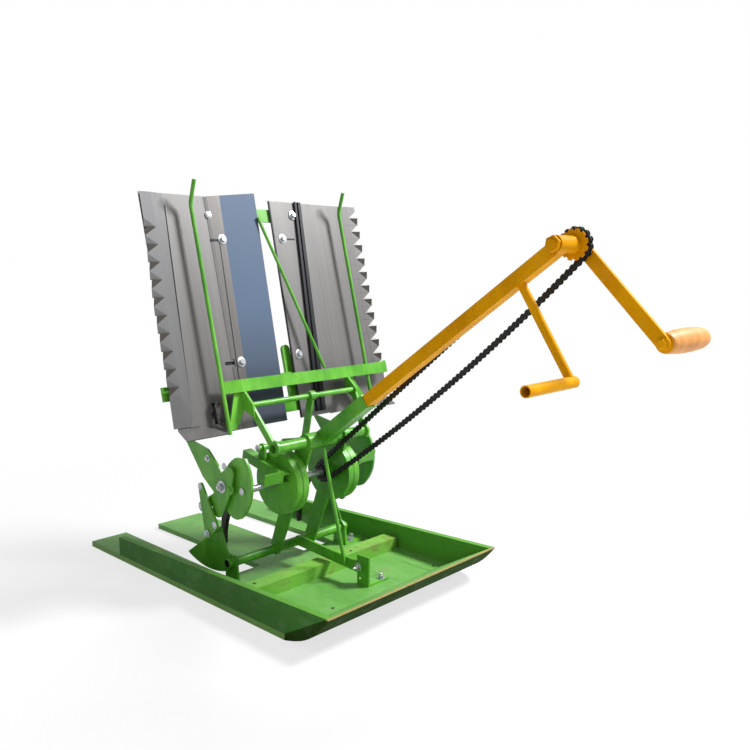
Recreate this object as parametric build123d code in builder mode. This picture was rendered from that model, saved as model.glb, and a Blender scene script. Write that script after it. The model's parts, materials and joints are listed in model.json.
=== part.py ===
"""Two-row hand-cranked rice transplanter on a wooden sled.

Millimetres. X runs across the machine, +Y to the rear (the skis), -Y to the
front (the raked nose, where the operator walks), +Z up. Z = 0 is the ground
under the sled, X = 0 its middle and Y = 0 the front end of the planting slots.
"""
import os
from math import asin, atan2, cos, degrees, hypot, pi, radians, sin, sqrt

from build123d import *

os.makedirs("parts", exist_ok=True)

SIDES = ((-1, "left"), (1, "right"))

# ---------------------------------------------------------------- dimensions
running_gap = 0.05           # radial clearance of every running fit

# sled
sled_width = 560.0
deck_thick = 14.0
ski_rear_y = 486.0           # tips of the three skis
deck_front_y = -330.0        # crease between deck and nose
nose_front_y = -464.0
nose_top_z = 85.0
ski_width = 103.0
middle_ski_width = 146.0
slot_front_y = 8.0
side_board_thick = 16.0
side_board_rear_y = 336.0
side_board_rear_z = 61.0
batten_y = (-165.0, -121.0)  # front and rear face
batten_height = 32.0
batten_inset = 28.0          # from the sled's side to the batten's end

# frame that stands on the sled
foot_tube_at = (-22.0, 60.0)       # (y, z)
foot_tube_dia = 24.0
tube_wall = 2.5
lug_thick = 6.0
lug_flange = 72.0
slide_tube_at = (-145.0, 352.0)
slide_tube_dia = 26.0
collar_wall = 7.0
collar_length = 14.0
upright_x = {"left": -46.0, "right": 70.0}
upright_thick = 6.0
guide_bar_at = (-62.0, 337.0)
guide_bar_dia = 14.0
bracket_x = 12.0                   # left face of the holed depth bracket
bracket_hole = (-262.0, 58.0)
strut_width = 26.0
brace_dia = 9.0

# planting drive, its plates stacked outward from the slot
shaft_at = (-97.0, 254.0)
shaft_dia = 16.0
drum_radius = 76.0
drum_thick = 12.0
drum_inset = 33.0                  # from the planting row to the drum's middle
crank_throw = 36.0
crank_reach = 80.0                 # largest radius of the half-moon crank plate
crank_plate_thick = 6.0
arm_thick = 5.0
rocker_thick = 5.0
guard_thick = 4.0
plate_gap = 5.0                    # between plates that move past each other
carrier_at = (52.0, 190.0)         # bar that carries the claw, crank pin to the rear
carrier_dia = 14.0
claw_tip_z = 67.0
claw_width = 12.0
prong_gap = 4.0
rocker_pin_at = (14.0, 134.0)
rocker_top_at = (40.0, 244.0)
rocker_heel_at = (-14.0, 160.0)
feed_arm_size = 24.0               # across the box tube
feed_arm_wall = 2.0
feed_arm_ends = ((-150.0, 277.0), (0.0, 312.0))

# handle arm and chain drive
arm_tube = 27.0
arm_wall = 2.0
socket_wall = 2.5
socket_length = 195.0
hub_at = (-784.0, 804.0)
hub_dia = 32.0
hub_x = (-26.0, 40.0)
chain_x = 50.0                     # middle plane of chain and sprockets
chain_width = 10.0
chain_pitch = 12.7
chain_plate = 9.9                  # height of a link plate at its pins
chain_waist = 6.4                  # and between them
chain_sag = 20.0                   # of the slack lower run
roller_dia = 6.0
roller_length = 4.0
lower_teeth = 9
upper_teeth = 12
sprocket_thick = 3.0
flange_dia = 59.0
axle_dia = 16.0
hand_crank_x = 62.0                # inner face of the flat crank
hand_crank_thick = 8.0
hand_crank_width = 26.0
crank_pin_at = (-951.0, 631.0)
crank_pin_dia = 10.0
knob_length = 172.0
grip_tube_dia = 22.0
grip_stem_dia = 17.5
grip_at = (-812.0, 556.0)
grip_length = 152.0

# seedling trays
tray_lean = 14.0                   # degrees from upright
tray_foot_at = (-55.0, 388.0)      # front face of the bed at its bottom edge
tray_length = 558.0
tray_outer_x = 336.0
tray_inner_x = 117.0
tooth_count = 15                   # folded teeth along each outer edge
tooth_depth = 22.0                 # of the edge teeth, folded square to the bed
sheet_inner_x = {"left": (31.0, 12.0), "right": (14.0, 29.0)}   # bottom and top, from the middle
sheet_lap = {"left": 40.0, "right": 8.0}
sheet_rise = {"left": 17.0, "right": 0.0}     # of the inner top corner above the tray
sheet_thick = 2.0
lip_depth = 28.0                   # how far the lip stands in front of the bed
lip_s = (20.0, -4.0)               # rear and front edge of the lip, up the bed
lip_inner_x = 227.0
rib_height = 2.0
rib_s = (24.0, 73.0, 530.0)        # foot, widest corner and top of each rib
rod_dia = 9.5
mat_room = 21.5                    # between the bed and the holding rods
bar_thick = 5.0
bar_s = (85.0, 114.0)              # bottom and top edge, up the bed
rail_height = 32.0
rail_thick = 6.0
rail_half = 300.0
cross_rail_half = 358.0
post_width = 24.0
link_tube_at = (-87.0, 449.0)
link_tube_dia = 13.0
link_x = 165.0                     # inner face of each side link
link_foot_x = 143.0                # and of its ring round the slide tube
link_thick = 6.0
link_width = 18.0
gusset_x = {"left": 217.0, "right": 235.0}   # outer corner of each link's gusset

# places that follow from them
half = sled_width / 2
slot_inner_x = middle_ski_width / 2
slot_width = half - ski_width - slot_inner_x
row_x = slot_inner_x + slot_width / 2                  # middle of each planting row
drum_x = row_x - drum_inset
lug_x = slot_inner_x + slot_width + 1                  # inner face of each foot lug
guard_x = lug_x + lug_thick + 2
crank_plate_x = guard_x + guard_thick + plate_gap + 2
arm_x = crank_plate_x + crank_plate_thick + plate_gap + 1
rocker_x = arm_x + arm_thick + plate_gap
foot_tube_half = guard_x + 1
shaft_half = crank_plate_x + crank_plate_thick + 2
slide_tube_half = link_foot_x + link_thick + 2
collar_dia = slide_tube_dia + 2 * collar_wall
feed_arm_x = drum_x + drum_thick / 2 + plate_gap       # inner face of each feed arm


# ------------------------------------------------------------------- helpers
def direction(start, end):
    """Angle in degrees of the line from start to end, both (y, z)."""
    return degrees(atan2(end[1] - start[1], end[0] - start[0]))


def middle(start, end):
    return ((start[0] + end[0]) / 2, (start[1] + end[1]) / 2)


def distance(start, end):
    return hypot(end[0] - start[0], end[1] - start[1])


def low_face(side, inner, thick):
    """Lower X of a plate whose face nearest the middle is inner from it."""
    return inner if side > 0 else -inner - thick


def flat_bar(x_low, thick, start, end, width, holes=()):
    """Round-ended flat bar standing fore and aft, with holes of (centre, dia)."""
    with BuildPart() as bar:
        with BuildSketch(Plane.YZ.offset(x_low)):
            with Locations(middle(start, end)):
                SlotCenterToCenter(distance(start, end), width, direction(start, end))
            for centre, dia in holes:
                with Locations(centre):
                    Circle(dia / 2, mode=Mode.SUBTRACT)
        extrude(amount=thick)
    return bar.part


def side_plate(x_low, thick, outline):
    """Plate standing fore and aft, with a polygon outline of (y, z) corners."""
    with BuildPart() as plate:
        with BuildSketch(Plane.YZ.offset(x_low)):
            with BuildLine():
                Polyline(*outline, close=True)
            make_face()
        extrude(amount=thick)
    return plate.part


def cross_tube(x_low, x_high, centre, outer, inner=0.0):
    """Round tube or bar across the machine, about centre (y, z)."""
    with BuildPart() as tube:
        with BuildSketch(Plane.YZ.offset(x_low)):
            with Locations(centre):
                Circle(outer / 2)
                if inner:
                    Circle(inner / 2, mode=Mode.SUBTRACT)
        extrude(amount=x_high - x_low)
    return tube.part


def round_rod(start, end, dia):
    """Straight round rod between two points in space."""
    run = Vector(*end) - Vector(*start)
    with BuildPart() as rod:
        with BuildSketch(Plane(origin=start, z_dir=run)):
            Circle(dia / 2)
        extrude(amount=run.length)
    return rod.part


lean = radians(tray_lean)


def on_bed(s, n):
    """(y, z) of a point s up the tray bed and n in front of it."""
    return (
        tray_foot_at[0] + s * sin(lean) - n * cos(lean),
        tray_foot_at[1] + s * cos(lean) + n * sin(lean),
    )


def bed_section(s):
    """Plane square to the bed, s up it: local x across, local y to the rear."""
    return Plane(origin=(0, *on_bed(s, 0)), x_dir=(1, 0, 0), z_dir=(0, sin(lean), cos(lean)))


def bed_face(n):
    """Plane parallel to the bed, n in front of it: local x across, local y up."""
    return Plane(origin=(0, *on_bed(0, n)), x_dir=(1, 0, 0), z_dir=(0, -cos(lean), sin(lean)))


def save(part, name):
    part.label = name
    export_step(part, f"parts/{name}.step")


# ---------------------------------------------------------------------- sled
with BuildPart() as deck:
    with BuildSketch(Plane.XY):
        with Locations((0, (deck_front_y + ski_rear_y) / 2)):
            Rectangle(sled_width, ski_rear_y - deck_front_y)
        for side, name in SIDES:
            with Locations((side * (slot_inner_x + slot_width / 2), (slot_front_y + ski_rear_y) / 2)):
                Rectangle(slot_width, ski_rear_y - slot_front_y, mode=Mode.SUBTRACT)
    extrude(amount=deck_thick)
save(deck.part, "deck")

rake = atan2(nose_top_z - deck_thick, deck_front_y - nose_front_y)
nose_top_rear = (nose_front_y + deck_thick * sin(rake), nose_top_z)
nose_outline = [
    (deck_front_y, 0),
    (deck_front_y, deck_thick),
    nose_top_rear,
    (nose_front_y, nose_top_z),
]
save(side_plate(-half, sled_width, nose_outline), "nose_board")

for side, name in SIDES:
    board_outline = [
        (side_board_rear_y, deck_thick),
        (side_board_rear_y, side_board_rear_z),
        nose_top_rear,
        (deck_front_y, deck_thick),
    ]
    board_low = low_face(side, half - side_board_thick, side_board_thick)
    save(side_plate(board_low, side_board_thick, board_outline), f"side_board_{name}")

with BuildPart() as batten:
    with BuildSketch(Plane.XY.offset(deck_thick)):
        with Locations((0, sum(batten_y) / 2)):
            Rectangle(sled_width - 2 * batten_inset, batten_y[1] - batten_y[0])
    extrude(amount=batten_height)
save(batten.part, "batten")

# --------------------------------------------------------- frame on the sled
foot_y, foot_z = foot_tube_at
for side, name in SIDES:
    with BuildPart() as lug:
        with BuildSketch(Plane.YZ.offset(low_face(side, lug_x, lug_thick))):
            with BuildLine():
                Polyline(
                    (foot_y - 24, deck_thick),
                    (foot_y + 26, deck_thick),
                    (foot_y + 19, foot_z + 8),
                    (foot_y + 8, foot_z + 19),
                    (foot_y - 8, foot_z + 19),
                    (foot_y - 19, foot_z + 8),
                    close=True,
                )
            make_face()
            with Locations(foot_tube_at):
                Circle(foot_tube_dia / 2, mode=Mode.SUBTRACT)
        extrude(amount=lug_thick)
        with BuildSketch(Plane.XY.offset(deck_thick)):
            with Locations((side * (lug_x + lug_flange / 2), foot_y + 1)):
                Rectangle(lug_flange, 50)
        extrude(amount=4)
    save(lug.part, f"foot_lug_{name}")

foot_tube = cross_tube(
    -foot_tube_half, foot_tube_half, foot_tube_at, foot_tube_dia, foot_tube_dia - 2 * tube_wall
)
save(foot_tube, "foot_tube")

slide_y, slide_z = slide_tube_at
for side, name in SIDES:
    with BuildPart() as upright:
        with BuildSketch(Plane.YZ.offset(upright_x[name] - upright_thick / 2)):
            with BuildLine():
                Polyline(
                    (foot_y - 18, foot_z - 4),
                    (foot_y + 18, foot_z + 4),
                    (slide_y + 40, slide_z - 20),
                    (slide_y - 16, slide_z - 14),
                    close=True,
                )
            make_face()
            with Locations(slide_tube_at):
                Circle(collar_dia / 2)
            with Locations(foot_tube_at):
                Circle(foot_tube_dia / 2 + 5)
            with Locations(middle(slide_tube_at, guide_bar_at)):
                SlotCenterToCenter(
                    distance(slide_tube_at, guide_bar_at), 22, direction(slide_tube_at, guide_bar_at)
                )
        extrude(amount=upright_thick)
        with BuildSketch(Plane.YZ.offset(upright_x[name] - collar_length / 2)):
            with Locations(slide_tube_at):
                Circle(collar_dia / 2)
            with Locations(shaft_at):
                Circle(shaft_dia / 2 + 8)
        extrude(amount=collar_length)
        for centre, dia in (
            (slide_tube_at, slide_tube_dia + 2 * running_gap),
            (shaft_at, shaft_dia + 2 * running_gap),
            (foot_tube_at, foot_tube_dia),
            (guide_bar_at, guide_bar_dia),
        ):
            with BuildSketch(Plane.YZ.offset(upright_x[name] - collar_length)):
                with Locations(centre):
                    Circle(dia / 2)
            extrude(amount=2 * collar_length, mode=Mode.SUBTRACT)
    save(upright.part, f"upright_{name}")

# guide bar across both uprights, and the strap that steadies the trays' link tube
guide_bar_half = feed_arm_x + feed_arm_size + 2
save(cross_tube(-guide_bar_half, guide_bar_half, guide_bar_at, guide_bar_dia), "guide_bar")

strap_x = (12.0, 28.0)
with BuildPart() as strap:
    with BuildSketch(Plane.YZ.offset(sum(strap_x) / 2 - 3)):
        with Locations(middle(guide_bar_at, link_tube_at)):
            SlotCenterToCenter(
                distance(guide_bar_at, link_tube_at), 20, direction(guide_bar_at, link_tube_at)
            )
    extrude(amount=6)
    with BuildSketch(Plane.YZ.offset(strap_x[0])):
        with Locations(link_tube_at):
            Circle(link_tube_dia / 2 + 6)
    extrude(amount=strap_x[1] - strap_x[0])
    for centre, dia in ((link_tube_at, link_tube_dia + 2 * running_gap), (guide_bar_at, guide_bar_dia)):
        with BuildSketch(Plane.YZ.offset(strap_x[0])):
            with Locations(centre):
                Circle(dia / 2)
        extrude(amount=strap_x[1] - strap_x[0], mode=Mode.SUBTRACT)
save(strap.part, "guide_strap")

# box-section feed arms hung from the guide bar, each with a flag plate at its front
feed_front, feed_rear = feed_arm_ends
for side, name in SIDES:
    feed_low = low_face(side, feed_arm_x, feed_arm_size)
    feed_plane = Plane(
        origin=(feed_low + feed_arm_size / 2, *feed_front),
        x_dir=(1, 0, 0),
        z_dir=(0, feed_rear[0] - feed_front[0], feed_rear[1] - feed_front[1]),
    )
    feed_top = Plane(origin=feed_plane.origin, x_dir=(1, 0, 0), z_dir=-feed_plane.y_dir)
    with BuildPart() as feed_arm:
        with BuildSketch(feed_plane):
            Rectangle(feed_arm_size, feed_arm_size)
        extrude(amount=distance(feed_front, feed_rear))
        with BuildSketch(Plane.YZ.offset(feed_low + feed_arm_size / 2 - 3)):
            with Locations(middle(guide_bar_at, (guide_bar_at[0], guide_bar_at[1] - 32))):
                SlotOverall(52, 24, 90)
        extrude(amount=6)
        with BuildSketch(feed_plane):
            with Locations((side * (feed_arm_size / 2 + 27), -feed_arm_size / 2 + 6)):
                Rectangle(54, 28)
        extrude(amount=4)
        with BuildSketch(feed_plane):
            Rectangle(feed_arm_size - 2 * feed_arm_wall, feed_arm_size - 2 * feed_arm_wall)
        extrude(amount=distance(feed_front, feed_rear), mode=Mode.SUBTRACT)
        with BuildSketch(feed_top):
            with Locations((0, -34)):
                SlotOverall(22, 8, 90)
        extrude(amount=-feed_arm_size, mode=Mode.SUBTRACT)
        with BuildSketch(Plane.YZ.offset(feed_low)):
            with Locations(guide_bar_at):
                Circle(guide_bar_dia / 2)
        extrude(amount=feed_arm_size, mode=Mode.SUBTRACT)
    save(feed_arm.part, f"feed_arm_{name}")

# depth strut from the foot tube to the holed angle bracket, and its brace rod
bracket_thick = 5.0
bracket_height = 72.0
with BuildPart() as bracket:
    with BuildSketch(Plane.YZ.offset(bracket_x)):
        with Locations((bracket_hole[0] - 10, deck_thick + bracket_height / 2)):
            Rectangle(38, bracket_height)
        for row in range(4):
            with Locations((bracket_hole[0], bracket_hole[1] - 28 + 14 * row)):
                Circle(3.5, mode=Mode.SUBTRACT)
    extrude(amount=bracket_thick)
    with BuildSketch(Plane.XY.offset(deck_thick)):
        with Locations((bracket_x + 35, bracket_hole[0] - 10)):
            Rectangle(70, 38)
    extrude(amount=bracket_thick)
save(bracket.part, "depth_bracket")

strut_thick = 6.0
strut_x = bracket_x - strut_thick
strut_start = (foot_y - foot_tube_dia / 2 - strut_width / 2 - 0.5, foot_z + 12)
strut = flat_bar(strut_x, strut_thick, strut_start, bracket_hole, strut_width)
save(strut, "depth_strut")

brace_x = strut_x - brace_dia / 2
brace_foot = (-222.0, 56.0)
brace_reach = distance(brace_foot, slide_tube_at)
brace_share = (brace_reach - collar_dia / 2 - 0.2) / brace_reach
brace_top = tuple(a + (b - a) * brace_share for a, b in zip(brace_foot, slide_tube_at))
save(round_rod((brace_x, *brace_foot), (brace_x, *brace_top), brace_dia), "brace_rod")

# ------------------------------------------------- handle arm and its socket
arm_run = (hub_at[0] - slide_y, hub_at[1] - slide_z)
arm_plane = Plane(origin=(0, slide_y, slide_z), x_dir=(1, 0, 0), z_dir=(0, *arm_run))
arm_length = hypot(*arm_run)
arm_start = 46.0             # end of the arm inside its socket, from the slide tube's axis
sleeve_x = (upright_x["left"] + collar_length / 2, chain_x - chain_width / 2 - 7)
socket_outer = arm_tube + 2 * socket_wall
with BuildPart() as socket:
    with BuildSketch(arm_plane.offset(8)):
        Rectangle(socket_outer, socket_outer)
    extrude(amount=socket_length - 8)
    with BuildSketch(arm_plane.offset(arm_start)):
        Rectangle(arm_tube, arm_tube)
    extrude(amount=socket_length, mode=Mode.SUBTRACT)
    with BuildSketch(Plane.YZ.offset(sleeve_x[0])):
        with Locations(slide_tube_at):
            Circle(collar_dia / 2)
    extrude(amount=sleeve_x[1] - sleeve_x[0])
    with BuildSketch(Plane.YZ.offset(sleeve_x[0])):
        with Locations(slide_tube_at):
            Circle(slide_tube_dia / 2 + running_gap)
    extrude(amount=sleeve_x[1] - sleeve_x[0], mode=Mode.SUBTRACT)
save(socket.part, "handle_socket")

with BuildPart() as handle_arm:
    with BuildSketch(arm_plane.offset(arm_start)):
        Rectangle(arm_tube, arm_tube)
    extrude(amount=arm_length - arm_start)
    with BuildSketch(Plane.YZ.offset(hub_x[0])):
        with Locations(hub_at):
            Circle(hub_dia / 2)
    extrude(amount=hub_x[1] - hub_x[0])
    with BuildSketch(arm_plane.offset(arm_start)):
        Rectangle(arm_tube - 2 * arm_wall, arm_tube - 2 * arm_wall)
    extrude(amount=arm_length - arm_start - hub_dia / 2, mode=Mode.SUBTRACT)
    with BuildSketch(Plane.YZ.offset(hub_x[0])):
        with Locations(hub_at):
            Circle(axle_dia / 2 + running_gap)
    extrude(amount=hub_x[1] - hub_x[0], mode=Mode.SUBTRACT)
save(handle_arm.part, "handle_arm")

# grip: a stem under the arm and an open tube across it
grip_root = (-691.0, 747.0)
arm_under = Plane(origin=arm_plane.origin, x_dir=(1, 0, 0), z_dir=arm_plane.y_dir).offset(-arm_tube / 2)
with BuildPart() as grip:
    add(round_rod((0, *grip_root), (0, *grip_at), grip_stem_dia))
    split(bisect_by=arm_under, keep=Keep.BOTTOM)
    with BuildSketch(Plane.YZ.offset(grip_tube_dia / 2)):
        with Locations(grip_at):
            Circle(grip_tube_dia / 2)
    extrude(amount=-grip_length - grip_tube_dia / 2)
    with BuildSketch(Plane.YZ.offset(grip_tube_dia / 2)):
        with Locations(grip_at):
            Circle(grip_tube_dia / 2 - 2)
    extrude(amount=-grip_length - grip_tube_dia / 2, mode=Mode.SUBTRACT)
save(grip.part, "grip_tube")

# ------------------------------------------------------ sprockets and chain
# The chain is one fixed loop, so its rollers lie just outside the teeth's tips.
tooth_clearance = 0.3


def tip_radius(teeth):
    return chain_pitch / (2 * sin(pi / teeth))


def roller_radius(teeth):
    """Radius of the arc that the chain's rollers follow round a sprocket."""
    return tip_radius(teeth) + tooth_clearance + roller_dia / 2


def sprocket(centre, teeth, bore, boss_dia, boss_x):
    """Toothed wheel about X in the chain's plane, with a boss along the shaft."""
    root = tip_radius(teeth) - 5.5
    with BuildPart() as wheel:
        with BuildSketch(Plane.YZ.offset(chain_x - sprocket_thick / 2)):
            with Locations(centre):
                Circle(root)
                with PolarLocations((root + tip_radius(teeth)) / 2, teeth):
                    Trapezoid(7.4, tip_radius(teeth) - root + 1, 72, rotation=-90)
                Circle(tip_radius(teeth), mode=Mode.INTERSECT)
        extrude(amount=sprocket_thick)
        with BuildSketch(Plane.YZ.offset(boss_x[0])):
            with Locations(centre):
                Circle(boss_dia / 2)
        extrude(amount=boss_x[1] - boss_x[0])
        with BuildSketch(Plane.YZ.offset(boss_x[0])):
            with Locations(centre):
                Circle(bore / 2)
        extrude(amount=boss_x[1] - boss_x[0], mode=Mode.SUBTRACT)
    return wheel.part


save(sprocket(shaft_at, lower_teeth, shaft_dia, 25, (chain_x - 7, chain_x + 7)), "lower_sprocket")

upper_boss_x = (hub_x[1] + 0.3, hand_crank_x)
with BuildPart() as upper_sprocket:
    add(sprocket(hub_at, upper_teeth, axle_dia, 28, upper_boss_x))
    with BuildSketch(Plane.YZ.offset(upper_boss_x[0])):
        with Locations(hub_at):
            Circle(flange_dia / 2)
            with PolarLocations(flange_dia / 2, upper_teeth):
                Circle(3.5, mode=Mode.SUBTRACT)
            Circle(axle_dia / 2, mode=Mode.SUBTRACT)
    extrude(amount=2.5)
save(upper_sprocket.part, "upper_sprocket")

# The tight upper run is straight. The slack lower run is an arc that both of the
# circles round the sprockets touch from inside.
span = distance(shaft_at, hub_at)
run_angle = radians(direction(shaft_at, hub_at))
low_radius = roller_radius(lower_teeth)
high_radius = roller_radius(upper_teeth)
tight_angle = run_angle - pi / 2 - asin((high_radius - low_radius) / span)
slack_radius = span**2 / (8 * chain_sag)
along = ((slack_radius - low_radius) ** 2 - (slack_radius - high_radius) ** 2 + span**2) / (2 * span)
across = sqrt((slack_radius - low_radius) ** 2 - along**2)
slack_centre = (
    shaft_at[0] + along * cos(run_angle) + across * sin(run_angle),
    shaft_at[1] + along * sin(run_angle) - across * cos(run_angle),
)
leave_hub = radians(direction(slack_centre, hub_at)) % (2 * pi)
reach_shaft = radians(direction(slack_centre, shaft_at)) % (2 * pi)
tight_length = sqrt(span**2 - (high_radius - low_radius) ** 2)
# (length, centre, radius, angle where it begins) of the three curved stretches
curved = (
    (high_radius * (leave_hub - tight_angle), hub_at, high_radius, tight_angle),
    (slack_radius * (reach_shaft - leave_hub), slack_centre, slack_radius, leave_hub),
    (low_radius * (tight_angle + 2 * pi - reach_shaft), shaft_at, low_radius, reach_shaft),
)
chain_length = tight_length + sum(stretch[0] for stretch in curved)
link_count = 2 * round(chain_length / chain_pitch / 2)


def on_circle(centre, radius, angle):
    return (centre[0] + radius * cos(angle), centre[1] + radius * sin(angle))


def on_chain(travel, offset):
    """Point that far along the loop of pins, and offset outward from it."""
    if travel < tight_length:
        start = on_circle(shaft_at, low_radius + offset, tight_angle)
        return on_circle(start, travel, tight_angle + pi / 2)
    travel -= tight_length
    for length, centre, radius, begin in curved:
        if travel < length:
            return on_circle(centre, radius + offset, begin + travel / radius)
        travel -= length
    return on_circle(shaft_at, low_radius + offset, tight_angle)


def link_edge(side):
    """Closed outline of the link plates: full height at the pins, narrow between."""
    half_pitch = chain_length / link_count / 2
    heights = (chain_plate / 2, chain_waist / 2)
    edge = [on_chain(half_pitch * k, side * heights[k % 2]) for k in range(2 * link_count)]
    with BuildLine() as outline:
        Polyline(*edge, close=True)
    return outline.line


def roller_edge(side):
    """Closed line along one side of the rollers."""
    offset = side * roller_dia / 2
    low_end = on_circle(shaft_at, low_radius + offset, (tight_angle + reach_shaft) / 2 + pi)
    high_end = on_circle(hub_at, high_radius + offset, (tight_angle + leave_hub) / 2)
    slack = on_circle(slack_centre, slack_radius + offset, (leave_hub + reach_shaft) / 2)
    tight = [on_circle(centre, radius + offset, tight_angle) for _, centre, radius, _ in curved[::2]]
    hub_leave = on_circle(hub_at, high_radius + offset, leave_hub)
    shaft_reach = on_circle(shaft_at, low_radius + offset, reach_shaft)
    with BuildLine() as outline:
        Line(tight[1], tight[0])
        ThreePointArc(tight[0], high_end, hub_leave)
        ThreePointArc(hub_leave, slack, shaft_reach)
        ThreePointArc(shaft_reach, low_end, tight[1])
    return outline.line


plate_thick = (chain_width - roller_length) / 2
with BuildPart() as chain:
    for plate_low in (chain_x - chain_width / 2, chain_x + roller_length / 2):
        with BuildSketch(Plane.YZ.offset(plate_low)):
            make_face(link_edge(1))
            make_face(link_edge(-1), mode=Mode.SUBTRACT)
        extrude(amount=plate_thick)
    with BuildSketch(Plane.YZ.offset(chain_x - roller_length / 2)):
        make_face(roller_edge(1))
        make_face(roller_edge(-1), mode=Mode.SUBTRACT)
    extrude(amount=roller_length)
save(chain.part, "chain")

# ----------------------------------------------------------------- hand crank
save(cross_tube(hub_x[0] - 14, hand_crank_x + hand_crank_thick, hub_at, axle_dia), "crank_axle")

knob_x = hand_crank_x + hand_crank_thick + 1.0
with BuildPart() as hand_crank:
    add(
        flat_bar(
            hand_crank_x, hand_crank_thick, hub_at, crank_pin_at, hand_crank_width, [(hub_at, axle_dia)]
        )
    )
    with BuildSketch(Plane.YZ.offset(hand_crank_x + hand_crank_thick)):
        with Locations(crank_pin_at):
            Circle(crank_pin_dia / 2)
    extrude(amount=knob_length + 6)
save(hand_crank.part, "hand_crank")

pin_y, pin_z = crank_pin_at
knob_bore = crank_pin_dia / 2 + running_gap
with BuildPart() as knob:
    with BuildSketch(Plane(origin=(knob_x, pin_y, pin_z), x_dir=(1, 0, 0), z_dir=(0, -1, 0))):
        with BuildLine():
            ThreePointArc((18, 16), (75, 23), (knob_length - 10, 18))
            Polyline(
                (knob_length - 10, 18),
                (knob_length, 12),
                (knob_length, knob_bore),
                (0, knob_bore),
                (0, 16),
                (18, 16),
            )
        make_face()
    revolve(axis=Axis((0, pin_y, pin_z), (1, 0, 0)))
save(knob.part, "crank_handle")

# ----------------------------------------------------------- main shaft group
save(cross_tube(-shaft_half, shaft_half, shaft_at, shaft_dia), "main_shaft")

for side, name in SIDES:
    drum_low = low_face(side, drum_x - drum_thick / 2, drum_thick)
    drum = cross_tube(drum_low, drum_low + drum_thick, shaft_at, 2 * drum_radius, shaft_dia)
    save(drum, f"feed_drum_{name}")

throw_at = (shaft_at[0] + crank_throw, shaft_at[1])
throw_pin_dia = 12.0


def from_shaft(dy, dz):
    """Point that far behind and above the main shaft, on the crank's scale."""
    return (shaft_at[0] + dy * crank_reach / 80, shaft_at[1] + dz * crank_reach / 80)


# half-moon plates that carry the crank pins
for side, name in SIDES:
    with BuildPart() as shaft_crank:
        with BuildSketch(Plane.YZ.offset(low_face(side, crank_plate_x, crank_plate_thick))):
            with BuildLine():
                ThreePointArc(from_shaft(-12, 78), from_shaft(-34, 14), from_shaft(-6, -54))
                ThreePointArc(from_shaft(-6, -54), from_shaft(34, -72), from_shaft(72, -33))
                ThreePointArc(from_shaft(72, -33), from_shaft(68, 30), from_shaft(24, 75))
                Line(from_shaft(24, 75), from_shaft(-12, 78))
            make_face()
            with Locations(shaft_at):
                Circle(shaft_dia / 2, mode=Mode.SUBTRACT)
        extrude(amount=crank_plate_thick)
        with BuildSketch(Plane.YZ.offset(side * crank_plate_x)):
            with Locations(throw_at):
                Circle(throw_pin_dia / 2)
        extrude(amount=side * (arm_x + arm_thick + 3 - crank_plate_x))
    save(shaft_crank.part, f"shaft_crank_{name}")

# -------------------------------------------------------------- planting arms
carrier_y, carrier_z = carrier_at


def from_pin(dy, dz):
    """Point that far behind and above the crank pin."""
    return (throw_at[0] + dy, throw_at[1] + dz)


for side, name in SIDES:
    with BuildPart() as arm:
        with BuildSketch(Plane.YZ.offset(low_face(side, arm_x, arm_thick))):
            with BuildLine():
                ThreePointArc(from_pin(2, 52), from_pin(51, 6), from_pin(66, -52))
                ThreePointArc(from_pin(66, -52), from_pin(55, -76), from_pin(38, -74))
                ThreePointArc(from_pin(38, -74), from_pin(4, -22), from_pin(-16, 38))
                ThreePointArc(from_pin(-16, 38), from_pin(-10, 50), from_pin(2, 52))
            make_face()
            with Locations(throw_at):
                Circle(throw_pin_dia / 2 + 8)
            with BuildLine():
                Polyline(
                    from_pin(28, 34),
                    from_pin(40, 48),
                    from_pin(81, 82),
                    from_pin(179, 100),
                    from_pin(104, 12),
                    from_pin(60, -18),
                    close=True,
                )
            make_face()
            with Locations(middle(throw_at, carrier_at)):
                SlotCenterToCenter(distance(throw_at, carrier_at), 24, direction(throw_at, carrier_at))
            with Locations(throw_at):
                Circle(throw_pin_dia / 2 + running_gap, mode=Mode.SUBTRACT)
        extrude(amount=arm_thick)
        carrier_inner = row_x - claw_width / 2 - 4
        with BuildSketch(Plane.YZ.offset(side * carrier_inner)):
            with Locations(carrier_at):
                Circle(carrier_dia / 2)
        extrude(amount=side * (arm_x + 1 - carrier_inner))
    save(arm.part, f"planting_arm_{name}")

    with BuildPart() as claw:
        with BuildSketch(Plane.YZ.offset(side * row_x - claw_width / 2)):
            with BuildLine():
                ThreePointArc(
                    (carrier_y + 12, carrier_z + 4),
                    (carrier_y - 2, carrier_z + 13),
                    (carrier_y - 12, carrier_z - 4),
                )
                Line((carrier_y - 12, carrier_z - 4), (carrier_y + 14, carrier_z - 48))
                ThreePointArc(
                    (carrier_y + 14, carrier_z - 48),
                    (carrier_y + 25, carrier_z - 84),
                    (carrier_y + 28, claw_tip_z),
                )
                Line((carrier_y + 28, claw_tip_z), (carrier_y + 35, claw_tip_z))
                ThreePointArc(
                    (carrier_y + 35, claw_tip_z),
                    (carrier_y + 38, carrier_z - 82),
                    (carrier_y + 34, carrier_z - 42),
                )
                Line((carrier_y + 34, carrier_z - 42), (carrier_y + 12, carrier_z + 4))
            make_face()
            with Locations(carrier_at):
                Circle(carrier_dia / 2, mode=Mode.SUBTRACT)
        extrude(amount=claw_width)
        with BuildSketch(Plane.YZ.offset(side * row_x - prong_gap / 2)):
            with Locations((carrier_y + 30, claw_tip_z + 22)):
                Rectangle(60, 90)
        extrude(amount=prong_gap, mode=Mode.SUBTRACT)
    save(claw.part, f"claw_{name}")

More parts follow.
